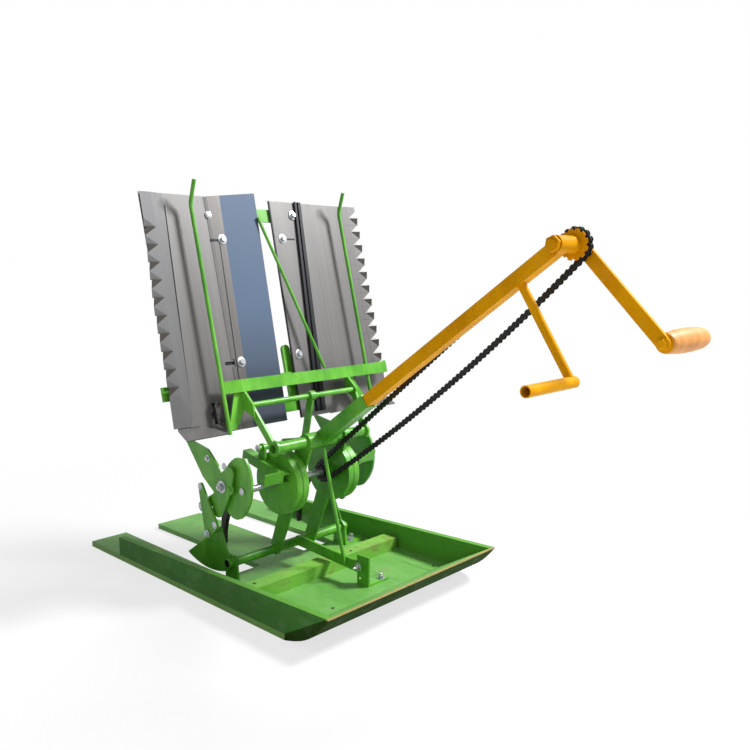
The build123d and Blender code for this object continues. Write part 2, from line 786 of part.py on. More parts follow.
# three-cornered rocker and the shovel-shaped guard that carries it
rocker_pin_dia = 10.0
pin_ear = 8.0
for side, name in SIDES:
    with BuildPart() as guard:
        with BuildSketch(Plane.YZ.offset(low_face(side, guard_x, guard_thick))):
            with BuildLine():
                Polyline(
                    (foot_y + 2, foot_z - 20),
                    (foot_y + 2, foot_z + 16),
                    (rocker_pin_at[0] - pin_ear, rocker_pin_at[1] - 2),
                    (rocker_pin_at[0] + pin_ear, rocker_pin_at[1] - 2),
                )
                ThreePointArc(
                    (rocker_pin_at[0] + pin_ear, rocker_pin_at[1] - 2), (78, 96), (152, 46)
                )
                ThreePointArc((152, 46), (88, 27), (foot_y + 2, foot_z - 20))
            make_face()
            with Locations(rocker_pin_at):
                Circle(pin_ear)
            with Locations(foot_tube_at):
                Circle(foot_tube_dia / 2, mode=Mode.SUBTRACT)
        extrude(amount=guard_thick)
        with BuildSketch(Plane.YZ.offset(side * guard_x)):
            with Locations(rocker_pin_at):
                Circle(rocker_pin_dia / 2)
        extrude(amount=side * (rocker_x + rocker_thick + 2 - guard_x))
    save(guard.part, f"slot_guard_{name}")

    with BuildPart() as rocker:
        with BuildSketch(Plane.YZ.offset(low_face(side, rocker_x, rocker_thick))):
            for centre, radius in ((rocker_top_at, 9), (rocker_heel_at, 10), (rocker_pin_at, 12)):
                with Locations(centre):
                    Circle(radius)
            make_hull()
            with Locations(rocker_pin_at):
                Circle(rocker_pin_dia / 2 + running_gap, mode=Mode.SUBTRACT)
            with Locations(rocker_top_at):
                Circle(3, mode=Mode.SUBTRACT)
        extrude(amount=rocker_thick)
    save(rocker.part, f"rocker_{name}")

# ------------------------------------------------------------- tray carriage
slide_tube = cross_tube(
    -slide_tube_half, slide_tube_half, slide_tube_at, slide_tube_dia, slide_tube_dia - 2 * tube_wall
)
save(slide_tube, "slide_tube")
save(cross_tube(-link_x - link_thick, link_x + link_thick, link_tube_at, link_tube_dia), "link_tube")

rod_n = mat_room + rod_dia / 2              # middle of the holding rods, in front of the bed
bar_n = rod_n + rod_dia / 2                 # rear face of the bar that carries them
hook_n = rail_thick + sheet_thick           # rear face of the rails, behind the bed
for side, name in SIDES:
    with BuildPart() as link:
        with BuildSketch(Plane.YZ.offset(low_face(side, link_x, link_thick))):
            with BuildLine():
                Polyline(
                    (link_tube_at[0] - 12, link_tube_at[1] + 4),
                    on_bed(bar_s[0], bar_n + bar_thick),
                    on_bed(bar_s[0], mat_room),
                    on_bed(48, mat_room),
                    (link_tube_at[0] - 1, link_tube_at[1] - 21),
                    (link_tube_at[0] - 20, link_tube_at[1] - 26),
                    close=True,
                )
            make_face()
            with Locations(link_tube_at):
                Circle(link_width / 2)
        extrude(amount=link_thick)
        with BuildSketch(Plane.YZ.offset(low_face(side, link_foot_x, link_thick))):
            with Locations(slide_tube_at):
                Circle(slide_tube_dia / 2 + 6)
        extrude(amount=link_thick)
        leg_top = Vector(side * (link_x + link_thick / 2), *link_tube_at)
        leg_foot = Vector(side * (link_foot_x + link_thick / 2), *slide_tube_at)
        leg_run = leg_top - leg_foot
        across = Vector(1, 0, 0).cross(leg_run)
        with BuildSketch(Plane(origin=leg_foot, x_dir=leg_run, z_dir=leg_run.cross(across))):
            with Locations((leg_run.length / 2, 0)):
                Rectangle(leg_run.length, link_width)
        extrude(amount=link_thick / 2, both=True)
        with BuildSketch(Plane.YZ.offset(low_face(side, link_foot_x - 20, link_x + 40))):
            with Locations(slide_tube_at):
                Circle(slide_tube_dia / 2)
            with Locations(link_tube_at):
                Circle(link_tube_dia / 2)
        extrude(amount=link_x + 40, mode=Mode.SUBTRACT)
        with BuildSketch(bed_face(mat_room)):
            with BuildLine():
                Polyline(
                    (side * link_x, bar_s[0]),
                    (side * (link_x + 26), bar_s[0]),
                    (side * gusset_x[name], 16),
                    (side * gusset_x[name], sheet_thick),
                    (side * (gusset_x[name] - 16), sheet_thick),
                    (side * link_x, 50),
                    close=True,
                )
            make_face()
        extrude(amount=4)
    save(link.part, f"side_link_{name}")

bar_end_x = 319.0
left_rod_x = -222.0
right_rod_x = 249.0
with BuildPart() as rod_bar:
    with BuildSketch(bed_section(bar_s[0])):
        with BuildLine():
            bend_x = left_rod_x + 50
            stop_x = left_rod_x + rod_dia / 2
            Polyline(
                (bar_end_x, -bar_n),
                (bend_x, -bar_n),
                (stop_x, -rod_n + bar_thick / 2),
                (stop_x, -rod_n - bar_thick / 2),
                (bend_x - 2, -bar_n - bar_thick),
                (bar_end_x, -bar_n - bar_thick),
                close=True,
            )
        make_face()
    extrude(amount=bar_s[1] - bar_s[0])
save(rod_bar.part, "rod_bar")

# holding rods, each with its top bent forward; (name, x, low end, bend): places up the bed
rod_bend_s = tray_length - 28
rod_hook = 55.0
for name, x, low_s in (("left", left_rod_x, -8), ("right", right_rod_x, 40)):
    with BuildPart() as rod:
        with BuildLine(Plane.YZ.offset(x)) as rod_path:
            FilletPolyline(
                on_bed(low_s, rod_n),
                on_bed(rod_bend_s, rod_n),
                on_bed(rod_bend_s + 0.85 * rod_hook, rod_n + 0.53 * rod_hook),
                radius=30,
            )
        with BuildSketch(Plane(origin=rod_path.line @ 0, z_dir=rod_path.line % 0)):
            Circle(rod_dia / 2)
        sweep()
    save(rod.part, f"holding_rod_{name}")

tooth_pitch = tray_length / tooth_count
for side, name in SIDES:
    with BuildPart() as tray:
        with BuildSketch(bed_face(-sheet_thick)):
            with BuildLine():
                Polyline(
                    (side * tray_inner_x, 0),
                    (side * lip_inner_x, 0),
                    (side * lip_inner_x, lip_s[0]),
                    (side * tray_outer_x, lip_s[0]),
                    (side * tray_outer_x, tray_length),
                    (side * tray_inner_x, tray_length),
                    close=True,
                )
            make_face()
            with Locations((side * (tray_inner_x + 54), 157)):
                SlotOverall(28, 8, mode=Mode.SUBTRACT)
        extrude(amount=sheet_thick)
        with BuildSketch(Plane.YZ.offset(low_face(side, lip_inner_x, tray_outer_x - lip_inner_x))):
            with BuildLine():
                Polyline(
                    on_bed(lip_s[0], -sheet_thick),
                    on_bed(lip_s[0], 0),
                    on_bed(lip_s[1], lip_depth),
                    on_bed(lip_s[1] - sheet_thick, lip_depth - sheet_thick),
                    close=True,
                )
            make_face()
        extrude(amount=tray_outer_x - lip_inner_x)
        with BuildSketch(bed_face(0)):
            with BuildLine():
                Polyline(
                    (side * (tray_outer_x - 65), rib_s[2]),
                    (side * (tray_outer_x - 62), rib_s[2]),
                    (side * (tray_outer_x - 41), rib_s[1]),
                    (side * (tray_outer_x - 30), rib_s[0]),
                    (side * (tray_outer_x - 56), rib_s[0]),
                    (side * (tray_outer_x - 49), rib_s[1]),
                    close=True,
                )
            make_face()
        extrude(amount=rib_height)
    save(tray.part, f"tray_{name}")

    # strip of teeth along the outer edge, folded to stand square to the bed
    with BuildPart() as tooth_edge:
        with BuildSketch(Plane.YZ.offset(low_face(side, tray_outer_x, sheet_thick))):
            with BuildLine():
                Polyline(
                    on_bed(lip_s[0] + 2, -sheet_thick),
                    on_bed(lip_s[0] + 2, 3),
                    on_bed(tray_length, 3),
                    on_bed(tray_length, -sheet_thick),
                    close=True,
                )
            make_face()
            for k in range(1, tooth_count):
                tooth_top = (k + 0.75) * tooth_pitch
                with BuildLine():
                    Polyline(
                        on_bed(tooth_top, 2),
                        on_bed(tooth_top, tooth_depth),
                        on_bed(tooth_top - 18, 2),
                        close=True,
                    )
                make_face()
        extrude(amount=sheet_thick)
    save(tooth_edge.part, f"tooth_edge_{name}")

    sheet_outer_x = tray_inner_x + sheet_lap[name]
    foot_x, head_x = sheet_inner_x[name]
    with BuildPart() as sheet:
        with BuildSketch(bed_face(0)):
            with BuildLine():
                Polyline(
                    (side * foot_x, sheet_thick),
                    (side * sheet_outer_x, sheet_thick),
                    (side * sheet_outer_x, tray_length),
                    (side * head_x, tray_length + sheet_rise[name]),
                    close=True,
                )
            make_face()
        extrude(amount=sheet_thick)
    save(sheet.part, f"inner_sheet_{name}")

# rails across the backs of both trays
upper_rail_s = tray_length - 38
rails = (("lower_rail", 38.0, rail_half), ("cross_rail", 104.0, cross_rail_half))
for name, rail_s, rail_reach in (*rails, ("upper_rail", upper_rail_s, rail_half)):
    with BuildPart() as rail:
        with BuildSketch(bed_face(-sheet_thick)):
            with Locations((0, rail_s)):
                Rectangle(2 * rail_reach, rail_height)
        extrude(amount=-rail_thick)
    save(rail.part, name)

# round-topped post behind the gap between the trays
post_s = (22.0, 190.0)
with BuildPart() as post:
    with BuildSketch(bed_face(-hook_n)):
        with Locations((post_width / 2, (post_s[0] + post_s[1] - post_width / 2) / 2)):
            Rectangle(post_width, post_s[1] - post_s[0] - post_width / 2)
        with Locations((post_width / 2, post_s[1] - post_width / 2)):
            Circle(post_width / 2)
    extrude(amount=-8)
save(post.part, "gap_post")

# stay between the trays, from the bar's top edge to the left sheet's face at the upper rail
stay_dia = 8.0
stay_foot = (92.0, *on_bed(bar_s[1] + stay_dia / 2, bar_n + bar_thick / 2))
stay_top = (-16.0, *on_bed(upper_rail_s - 8, sheet_thick + stay_dia / 2))
save(round_rod(stay_foot, stay_top, stay_dia), "stay_rod")
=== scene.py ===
# %% [markdown]
# # A hand rice transplanter
# The machine stands on a wooden sled. A green steel frame carries two stainless trays, an orange arm runs
# forward to a hand crank, and a chain brings the crank's turning back to two planting arms. The frame below
# holds every main piece at its true size; this lesson gives them their finishes and adds the small things.

# %% Load the frame
import json
import math

import bmesh
import bpy
from mathutils import Matrix, Vector


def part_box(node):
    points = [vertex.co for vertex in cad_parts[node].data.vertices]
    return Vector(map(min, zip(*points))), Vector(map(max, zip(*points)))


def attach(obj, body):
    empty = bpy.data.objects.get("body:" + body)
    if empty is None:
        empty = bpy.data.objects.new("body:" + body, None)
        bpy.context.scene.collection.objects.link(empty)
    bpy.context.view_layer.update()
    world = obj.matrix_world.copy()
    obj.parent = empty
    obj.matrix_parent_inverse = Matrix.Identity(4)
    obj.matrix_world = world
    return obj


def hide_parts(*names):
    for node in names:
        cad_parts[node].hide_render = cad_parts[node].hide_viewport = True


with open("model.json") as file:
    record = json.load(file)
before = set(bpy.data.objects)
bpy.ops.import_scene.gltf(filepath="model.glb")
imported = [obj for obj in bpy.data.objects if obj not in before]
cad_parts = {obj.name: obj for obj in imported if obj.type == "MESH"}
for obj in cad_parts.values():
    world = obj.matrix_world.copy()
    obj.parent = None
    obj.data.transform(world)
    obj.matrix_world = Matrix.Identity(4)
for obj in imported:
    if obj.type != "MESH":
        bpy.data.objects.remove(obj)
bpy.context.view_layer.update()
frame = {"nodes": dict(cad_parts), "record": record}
nodes = frame["nodes"]
print("pieces in the frame:", len(nodes))

# %% [markdown]
# ## Camera
# The view is from the front left corner, a little above the trays' foot. The lens is a short portrait one,
# and the camera looks slightly down.

# %% Camera
CAMERA_PLACE = (-1.2805, -1.5296, 0.762)
CAMERA_TURN = math.radians(-46.7)
CAMERA_DROP = math.radians(7.69)
LENS_MM, SENSOR_MM = 38.11, 36.0

camera_data = bpy.data.cameras.new("view_camera")
camera_data.lens = LENS_MM
camera_data.sensor_width = SENSOR_MM
camera = bpy.data.objects.new("view_camera", camera_data)
camera.location = CAMERA_PLACE
camera.rotation_euler = (math.pi / 2 - CAMERA_DROP, 0.0, CAMERA_TURN)
bpy.context.scene.collection.objects.link(camera)
bpy.context.scene.camera = camera
bpy.context.scene.view_settings.view_transform = "Standard"
print("camera at", CAMERA_PLACE, "with a lens of", LENS_MM, "mm")

# %% [markdown]
# ## Shader arithmetic
# A pattern is easier to read as a sum than as a web of nodes. `Value` wraps one socket, and each operator on
# it adds the Math node that it stands for. The reflected forms let a plain number stand first, as in
# 1 - mask.


# %% Value
class Value:
    """A node's output that can be added, multiplied and compared."""

    def __init__(self, finish, socket):
        self.finish = finish
        self.socket = socket

    def math(self, operation, first, second):
        return self.finish.node("Math", {"operation": operation}, {0: first, 1: second})

    def __add__(self, other):
        return self.math("ADD", self, other)

    def __sub__(self, other):
        return self.math("SUBTRACT", self, other)

    def __rsub__(self, other):
        return self.math("SUBTRACT", other, self)

    def __mul__(self, other):
        return self.math("MULTIPLY", self, other)

    def __lt__(self, other):
        return self.math("LESS_THAN", self, other)

    def clamp(self):
        return self.finish.node("Clamp", {}, {"Value": self})

    __radd__ = __add__
    __rmul__ = __mul__


print("Value adds a Math node for each +, -, * and <")

# %% [markdown]
# `Finish` starts a material. Its one method `node` makes every node: the settings first, then the values or
# links of its sockets. The other methods are short names for the nodes that the finishes below use most.


# %% Finish
class Finish:
    """A new material with a Principled shader, built from named nodes."""

    def __init__(self, name):
        self.material = bpy.data.materials.new(name)
        self.material.use_nodes = True
        self.tree = self.material.node_tree
        self.shader = self.tree.nodes["Principled BSDF"]
        self.place = self.node("TexCoord", {}, {}, "Object")

    def node(self, kind, settings, values, output=0):
        made = self.tree.nodes.new("ShaderNode" + kind)
        for key, value in settings.items():
            if key == "stops":
                self.set_stops(made.color_ramp, value)
            else:
                setattr(made, key, value)
        for key, value in values.items():
            self.feed(made.inputs[key], value)
        return Value(self, made.outputs[output])

    def set_stops(self, ramp, stops):
        while len(ramp.elements) < len(stops):
            ramp.elements.new(0.5)
        for element, (position, colour) in zip(ramp.elements, stops):
            element.position = position
            element.color = (*colour, 1.0)

    def feed(self, socket, value):
        if isinstance(value, Value):
            self.tree.links.new(value.socket, socket)
        elif isinstance(value, tuple) and len(value) == 3 and len(socket.default_value) == 4:
            socket.default_value = (*value, 1.0)
        else:
            socket.default_value = value

    def set(self, **sockets):
        for name, value in sockets.items():
            self.feed(self.shader.inputs[name.replace("_", " ").title().replace("Ior", "IOR")], value)
        return self.material

    def noise(self, scale, detail=4.0, roughness=0.55, at=None, distortion=0.0):
        sockets = {"Vector": at or self.place, "Scale": scale, "Detail": detail}
        sockets.update({"Roughness": roughness, "Distortion": distortion})
        return self.node("TexNoise", {}, sockets)

    def stretched(self, x, y, z):
        return self.node("Mapping", {}, {"Vector": self.place, "Scale": (x, y, z)})

    def axis(self, which):
        """One coordinate of the place on the surface, in metres."""
        return self.node("SeparateXYZ", {}, {"Vector": self.place}, which)

    def ramp(self, fac, *stops):
        return self.node("ValToRGB", {"stops": stops}, {"Fac": fac})

    def between(self, value, low, high):
        """0 at low, 1 at high, clamped."""
        return self.node("MapRange", {}, {"Value": value, "From Min": low, "From Max": high})

    def mix(self, fac, first, second):
        """Colour first where fac is 0, second where it is 1."""
        return self.node("Mix", {"data_type": "RGBA"}, {"Factor": fac, 6: first, 7: second}, 2)

    def absolute(self, value):
        return self.node("Math", {"operation": "ABSOLUTE"}, {0: value})

    def band(self, value, centre, half_width):
        """1 where value lies within half_width of centre."""
        return self.absolute(value - centre) < half_width

    def bump(self, height, strength, distance):
        return self.node("Bump", {}, {"Height": height, "Strength": strength, "Distance": distance})


def tinted(colour, factor, lift=0.0):
    """The colour with each channel scaled and lifted."""
    return tuple(factor * channel_shade + lift for channel_shade in colour)


print("Finish has", len([name for name in vars(Finish) if name[0] != "_"]), "methods")

# %% [markdown]
# ## Paint
# The frame is sprayed with glossy green enamel, the handle with orange. The coat is never even: it pools a
# little, fades on top and holds fine dust, and here and there it is chipped to dark steel. Each of these is
# one noise pattern at its own scale, mixed into the colour and, where it is rough, into the gloss as well.


# %% Enamel
CHIP_BROWN = (0.035, 0.030, 0.022)
ENAMEL_GLOSS = {"frame_green": 0.27, "arm_orange": 0.34}


def enamel(name, light, dark, chips, specular):
    finish = Finish(name)
    drift = finish.noise(7.0, 4.0)
    brushed = finish.noise(1.0, 3.0, at=finish.stretched(30.0, 30.0, 9.0))
    grit = finish.noise(260.0, 3.0)
    shade = finish.mix(finish.between(drift + brushed * 0.5, 0.55, 0.95), dark, light)
    dust = finish.between(finish.noise(40.0, 2.0, 0.6), 0.50, 0.75) * 0.25
    colour = finish.mix(dust, shade, tinted(light, 0.7, 0.05 * max(light)))
    flecks = finish.between(finish.noise(95.0, 5.0, 0.75), 0.745 - chips, 0.765 - chips)
    return finish.set(
        base_color=finish.mix(flecks * 0.8, colour, CHIP_BROWN),
        roughness=ENAMEL_GLOSS[name] + drift * 0.12 + dust * 0.5 + flecks * 0.3,
        normal=finish.bump(grit * 0.05 + drift * 2.0 - flecks, 0.12, 0.0006),
        specular_ior_level=specular,
    )


frame_green = enamel("frame_green", (0.135, 0.440, 0.036), (0.034, 0.215, 0.007), 0.010, 0.35)
arm_orange = enamel("arm_orange", (0.790, 0.375, 0.002), (0.610, 0.255, 0.001), 0.0, 0.04)
print("enamels:", frame_green.name, arm_orange.name)

# %% [markdown]
# ## Painted plywood
# The sled is thin green paint on plywood. It has dulled to a mottled green, shows the grain as fine streaks,
# and is worn through to brown wood in patches. One helper makes the patterns that all the boards share and
# hands them back, so that each board can add its own marks before they reach the shader.


# %% Painted board
def painted_board(name, light, dark, wear, grain_scale=(14.0, 3.0, 14.0)):
    """Finish, colour of the paint, colour of bare wood, mask of the worn patches, and relief."""
    finish = Finish(name)
    grain = finish.noise(6.0, 6.0, 0.65, at=finish.stretched(*grain_scale), distortion=0.4)
    cloud = finish.noise(5.0, 5.0, 0.6)
    spots = finish.noise(26.0, 6.0, 0.7)
    paint = finish.mix(finish.between(cloud + grain * 0.6, 0.55, 1.05), dark, light)
    pale = finish.between(spots, 0.52, 0.70) * 0.35
    paint = finish.mix(pale, paint, tinted(light, 0.75, 0.10))
    wood = finish.mix(grain, (0.10, 0.095, 0.022), (0.24, 0.215, 0.070))
    worn = finish.between(spots * 0.55 + cloud * 0.55 + grain * 0.45, 0.90 - wear, 0.99 - wear) * 0.7
    relief = grain * 1.6 + spots * 0.5 - worn * 0.8
    return finish, paint, wood, worn, relief


BOARD_ROUGHNESS, BOARD_SPECULAR = 0.5, 0.25
BUMP_STRENGTH, BUMP_DISTANCE = 0.35, 0.0012


def finish_board(finish, paint, wood, worn, relief):
    return finish.set(
        base_color=finish.mix(worn, paint, wood),
        roughness=worn * 0.3 + BOARD_ROUGHNESS,
        normal=finish.bump(relief, BUMP_STRENGTH, BUMP_DISTANCE),
        specular_ior_level=BOARD_SPECULAR,
    )


DECK_PAINT = ((0.182, 0.420, 0.102), (0.088, 0.285, 0.046), 0.05)   # light, dark, wear
nose_inside = finish_board(*painted_board("nose_inside", *DECK_PAINT))
print("painted board:", nose_inside.name)

# %% [markdown]
# The deck has two cracks that run with the grain, and its rim is rubbed. Both follow from a position in
# metres, because the finish reads the same coordinates as the model: a crack is a narrow band of x that
# wanders a little.

# %% Deck
SEAM_X, SEAM_END_Y = 0.196, -0.235
SPLIT_X, SPLIT_MIDDLE_Y, SPLIT_HALF = 0.094, -0.262, 0.055
CRACK_DARK = (0.012, 0.014, 0.006)
RUB_START, RUB_END = 0.2755, 0.2785  # x over which the rubbing of the rim grows
deck_low, deck_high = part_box("deck")
deck_finish, paint, wood, worn, relief = painted_board("deck_green", *DECK_PAINT)
across, along = deck_finish.axis(0), deck_finish.axis(1)
wander = deck_finish.noise(9.0, 2.0) * 0.006
seam = deck_finish.band(across + wander, SEAM_X, 0.0008) * (along < SEAM_END_Y)
split = deck_finish.band(across + wander, SPLIT_X, 0.0006)
split = split * deck_finish.band(along, SPLIT_MIDDLE_Y, SPLIT_HALF)
crack = (seam + split).clamp()
rim = deck_finish.between(deck_finish.absolute(across), RUB_START, RUB_END)
rubbed = (worn + rim * 0.2).clamp()
cracked = deck_finish.mix(crack, paint, CRACK_DARK)
deck_green = finish_board(deck_finish, cracked, wood, rubbed, relief - crack * 3.0)
print("deck cracks at x", SEAM_X, "and", SPLIT_X)

# %% [markdown]
# The nose board is like the deck on its inside. Outside its paint is darkened as painted shade, with a
# painted black shadow along its foot, and the top edge is bare plywood. Two heights, read from the board's
# own box, say where each begins.

# %% Nose board's finish
# The black along the foot is a painted shadow: full below the first height, gone above the second.
FOOT_SHADOW_LOW, FOOT_SHADOW_HIGH = 0.007, 0.015
LIP_START, LIP_FULL = 0.0028, 0.0010     # bare plywood, measured down from the crest
FOOT_SHADOW_BLACK = (0.012, 0.016, 0.008)
nose_low, nose_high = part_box("nose_board")
# The outer green is kept dark as painted shade.
nose_finish, paint, wood, worn, relief = painted_board(
    "nose_shaded_green", (0.026, 0.066, 0.010), (0.014, 0.034, 0.005), 0.0
)
height = nose_finish.axis(2)
lip_line = nose_finish.between(height, nose_high.z - LIP_START, nose_high.z - LIP_FULL)
foot_shadow = 1 - nose_finish.between(height + nose_finish.noise(30.0, 3.0) * 0.008, FOOT_SHADOW_LOW, FOOT_SHADOW_HIGH)
plies = nose_finish.mix(nose_finish.noise(60.0, 3.0), (0.30, 0.235, 0.085), (0.47, 0.375, 0.160))
# Painted black shadow laid over the paint along the foot.
nose_paint_shadowed = nose_finish.mix(foot_shadow * 0.85, paint, FOOT_SHADOW_BLACK)
nose_shaded_green = nose_finish.set(
    base_color=nose_finish.mix(lip_line, nose_finish.mix(worn, nose_paint_shadowed, wood), plies),
    roughness=worn * 0.2 + 0.7,
    normal=nose_finish.bump(relief, BUMP_STRENGTH, BUMP_DISTANCE),
    specular_ior_level=0.02,
)
print("bare plywood from height", round(nose_high.z - LIP_START, 4))

# %% [markdown]
# The side boards' outer faces are painted darker than their greener insides, as painted shade. Long streaks
# of bare brown follow their length. One mask, from the distance to the middle of the sled, tells the outer
# face from the rest.

# %% Side boards
# The outer face's darker paint is painted shade.
OUTER_SHADE_START, OUTER_SHADE_FULL = 0.0014, 0.0004   # dark outer face, measured in from the deck's side
side_finish, paint, wood, worn, relief = painted_board(
    "side_green", (0.050, 0.195, 0.024), (0.026, 0.112, 0.012), 0.0
)
from_middle = side_finish.absolute(side_finish.axis(0))
outside = side_finish.between(from_middle, deck_high.x - OUTER_SHADE_START, deck_high.x - OUTER_SHADE_FULL)
rows = side_finish.noise(4.0, 5.0, 0.7, at=side_finish.stretched(4.0, 5.0, 26.0))
streaks = side_finish.between(rows, 0.56, 0.72) * 0.7
inner_tone = side_finish.mix(rows, (0.075, 0.260, 0.030), (0.150, 0.400, 0.065))
inner_tone = side_finish.mix(streaks * 0.4, inner_tone, (0.10, 0.13, 0.03))
# Outer face: painted shade, with streaks of bare brown wood.
outer_shaded_tone = side_finish.mix(streaks, side_finish.mix(worn, paint, wood), (0.075, 0.085, 0.020))
side_green = side_finish.set(
    base_color=side_finish.mix(outside, inner_tone, outer_shaded_tone),
    roughness=worn * 0.3 + 0.48,
    normal=side_finish.bump(relief + rows * 2.0, BUMP_STRENGTH, 0.0014),
    specular_ior_level=0.08,
)
print("side boards are dark beyond x", round(deck_high.x - OUTER_SHADE_FULL, 4))

# %% [markdown]
# The batten lies across the sled, so its grain is stretched along x instead of y. Its paint is worn off in
# more patches than the deck's, because a foot rests on it.

# %% Batten
batten_green = finish_board(*painted_board(
    "batten_green", (0.205, 0.470, 0.066), (0.115, 0.340, 0.036), 0.09, (3.0, 14.0, 14.0)
))
print("batten finish:", batten_green.name)

# %% [markdown]
# ## Stainless trays
# Thin stainless sheet is never a mirror: rolling leaves fine streaks along its length, which dull what it
# reflects. Noise that is stretched along the bed gives both the streaks in the colour and a slight unevenness
# in the gloss. The bed leans back, so the pattern is turned by the same lean first. From the same helper the
# toothed edges get a duller steel, a near-white painted highlight and a dark painted shade.

# %% Stainless sheet
LEAN = math.radians(14.0)
METAL_SHARE = 0.30          # of the dull sheet that reflects as metal


def bed_pattern(finish, across, through, along):
    """Object coordinates turned so that z runs up the bed, then scaled."""
    turned = finish.node("Mapping", {}, {"Vector": finish.place, "Rotation": (LEAN, 0.0, 0.0)})
    return finish.node("Mapping", {}, {"Vector": turned, "Scale": (across, through, along)})


def rolled_sheet(name, light, dark, roughness):
    """Finish and the values of its shader, so that a film can still be laid over them."""
    finish = Finish(name)
    streak = finish.noise(1.0, 4.0, 0.6, at=bed_pattern(finish, 160.0, 160.0, 1.3))
    broad = finish.noise(1.0, 3.0, at=bed_pattern(finish, 13.0, 13.0, 1.0))
    smear = finish.noise(16.0, 6.0, 0.7)
    tone = finish.between(streak * 0.55 + broad * 0.6, 0.36, 0.80)
    stain = finish.between(smear, 0.60, 0.80) * 0.35
    values = {
        "base_color": finish.mix(stain, finish.mix(tone, dark, light), tinted(dark, 0.6)),
        "roughness": streak * 0.10 + stain * 0.4 + roughness,
        "metallic": METAL_SHARE,
        "normal": finish.bump(streak * 0.35 + broad * 2.5, 0.22, 0.0009),
    }
    return finish, values


# The near-white steel is a painted highlight for the bent corners above the cuts, the darkest a painted shade
# for those below.
STEELS = {
    "tray_steel": ((0.134, 0.130, 0.129), (0.095, 0.091, 0.090), 0.42),
    "tooth_steel": ((0.107, 0.107, 0.111), (0.078, 0.077, 0.080), 0.46),
    "tooth_painted_highlight": ((0.800, 0.790, 0.780), (0.520, 0.510, 0.500), 0.30),
    "tooth_painted_shade": ((0.060, 0.050, 0.042), (0.026, 0.022, 0.018), 0.55),
}
steels = {}
for name, tones in STEELS.items():
    finish, values = rolled_sheet(name, *tones)
    steels[name] = finish.set(**values)
tray_steel = steels["tray_steel"]
print("sheet steels:", list(steels))

# %% [markdown]
# The left inner sheet still wears its blue-grey film. The film is torn back along the outer side, so a strip
# of bare steel shows there, and it darkens towards its foot. The tear is a straight line on the bed, so its
# side is a plain comparison of two coordinates.

# %% Filmed sheet
FILM_EDGE = (-0.1215, -0.1360)        # x of the torn edge at the top and at the foot
BED_LOW_Z, BED_HIGH_Z = 0.390, 0.940
FILM_FOOT, FILM_BLUE = (0.044, 0.052, 0.072), (0.076, 0.114, 0.184)
film_finish, values = rolled_sheet("sheet_film", (0.140, 0.133, 0.130), (0.098, 0.093, 0.091), 0.40)
across = film_finish.axis(0)
climb = film_finish.between(film_finish.axis(2), BED_LOW_Z, BED_HIGH_Z)
torn = climb * (FILM_EDGE[0] - FILM_EDGE[1]) + FILM_EDGE[1] + film_finish.noise(40.0, 4.0) * 0.0025
covered = film_finish.between(across - torn, 0.0, 0.0012)
film_tone = film_finish.mix(film_finish.between(climb, 0.05, 0.50), FILM_FOOT, FILM_BLUE)
film_tone = film_finish.mix(film_finish.noise(3.0, 3.0) * 0.30, film_tone, (0.070, 0.095, 0.145))
values["base_color"] = film_finish.mix(covered, values["base_color"], film_tone)
values["roughness"] = covered * 0.05 + values["roughness"]
values["metallic"] = covered * -METAL_SHARE + METAL_SHARE
values["specular_ior_level"] = 0.15
sheet_film = film_finish.set(**values)
print("film torn at x", FILM_EDGE)

# %% [markdown]
# ## Chain, zinc, wood
# The chain and the claws are black with oil and grit, and the darkest of these blacks is painted shade for
# the strips on the trays. One fine noise both lightens the black and dulls it. Bolts and the shaft are zinc
# plated, with a faint milky bloom.


# %% Oiled and plated steel
def oiled(name, colour, roughness):
    finish = Finish(name)
    grime = finish.noise(120.0, 5.0, 0.7)
    return finish.set(
        base_color=finish.mix(grime, colour, tinted(colour, 2.2, 0.006)),
        roughness=grime * 0.25 + roughness,
        metallic=0.6,
        normal=finish.bump(grime, 0.3, 0.0004),
    )


def plated(name, colour, roughness):
    finish = Finish(name)
    bloom = finish.noise(70.0, 5.0, 0.65)
    return finish.set(
        base_color=finish.mix(finish.between(bloom, 0.35, 0.75), colour, tinted(colour, 0.62)),
        roughness=bloom * 0.22 + roughness,
        metallic=0.8,
        normal=finish.bump(bloom, 0.15, 0.0003),
    )


chain_black = oiled("chain_black", (0.010, 0.010, 0.011), 0.30)
claw_black = oiled("claw_black", (0.018, 0.017, 0.016), 0.38)
# The darkest black is painted shade, for the strips on the trays.
tray_shade_black = oiled("tray_painted_shade", (0.006, 0.006, 0.008), 0.45)
zinc = plated("zinc_plate", (0.50, 0.52, 0.55), 0.22)
print("small finishes:", chain_black.name, claw_black.name, tray_shade_black.name, zinc.name)

# %% [markdown]
# The crank's handle is a turned and varnished piece of wood. Its rings run round it, so the noise is squeezed
# along the handle and drawn out across it, and short dark flecks along the grain are its pores.

# %% Varnished wood
WOOD_DARK, WOOD_TAN, WOOD_PALE = (0.50, 0.185, 0.036), (0.65, 0.275, 0.062), (0.75, 0.360, 0.100)
PORE_BROWN = (0.30, 0.120, 0.035)
wood_finish = Finish("handle_wood")
rings = wood_finish.noise(1.0, 5.0, 0.6, at=wood_finish.stretched(95.0, 12.0, 12.0), distortion=0.4)
flecks = wood_finish.noise(1.0, 3.0, at=wood_finish.stretched(70.0, 420.0, 420.0))
pores = wood_finish.between(flecks, 0.60, 0.72)
tan = wood_finish.ramp(rings, (0.30, WOOD_DARK), (0.50, WOOD_TAN), (0.72, WOOD_PALE))
handle_wood = wood_finish.set(
    base_color=wood_finish.mix(pores * 0.35, tan, PORE_BROWN),
    roughness=rings * 0.15 + 0.42,
    normal=wood_finish.bump(rings - pores, 0.20, 0.0006),
    specular_ior_level=0.3,
)
print("wood finish:", handle_wood.name)

# %% [markdown]
# Every main piece now gets its finish by the slot that the record names, and the few that differ get theirs
# by name.

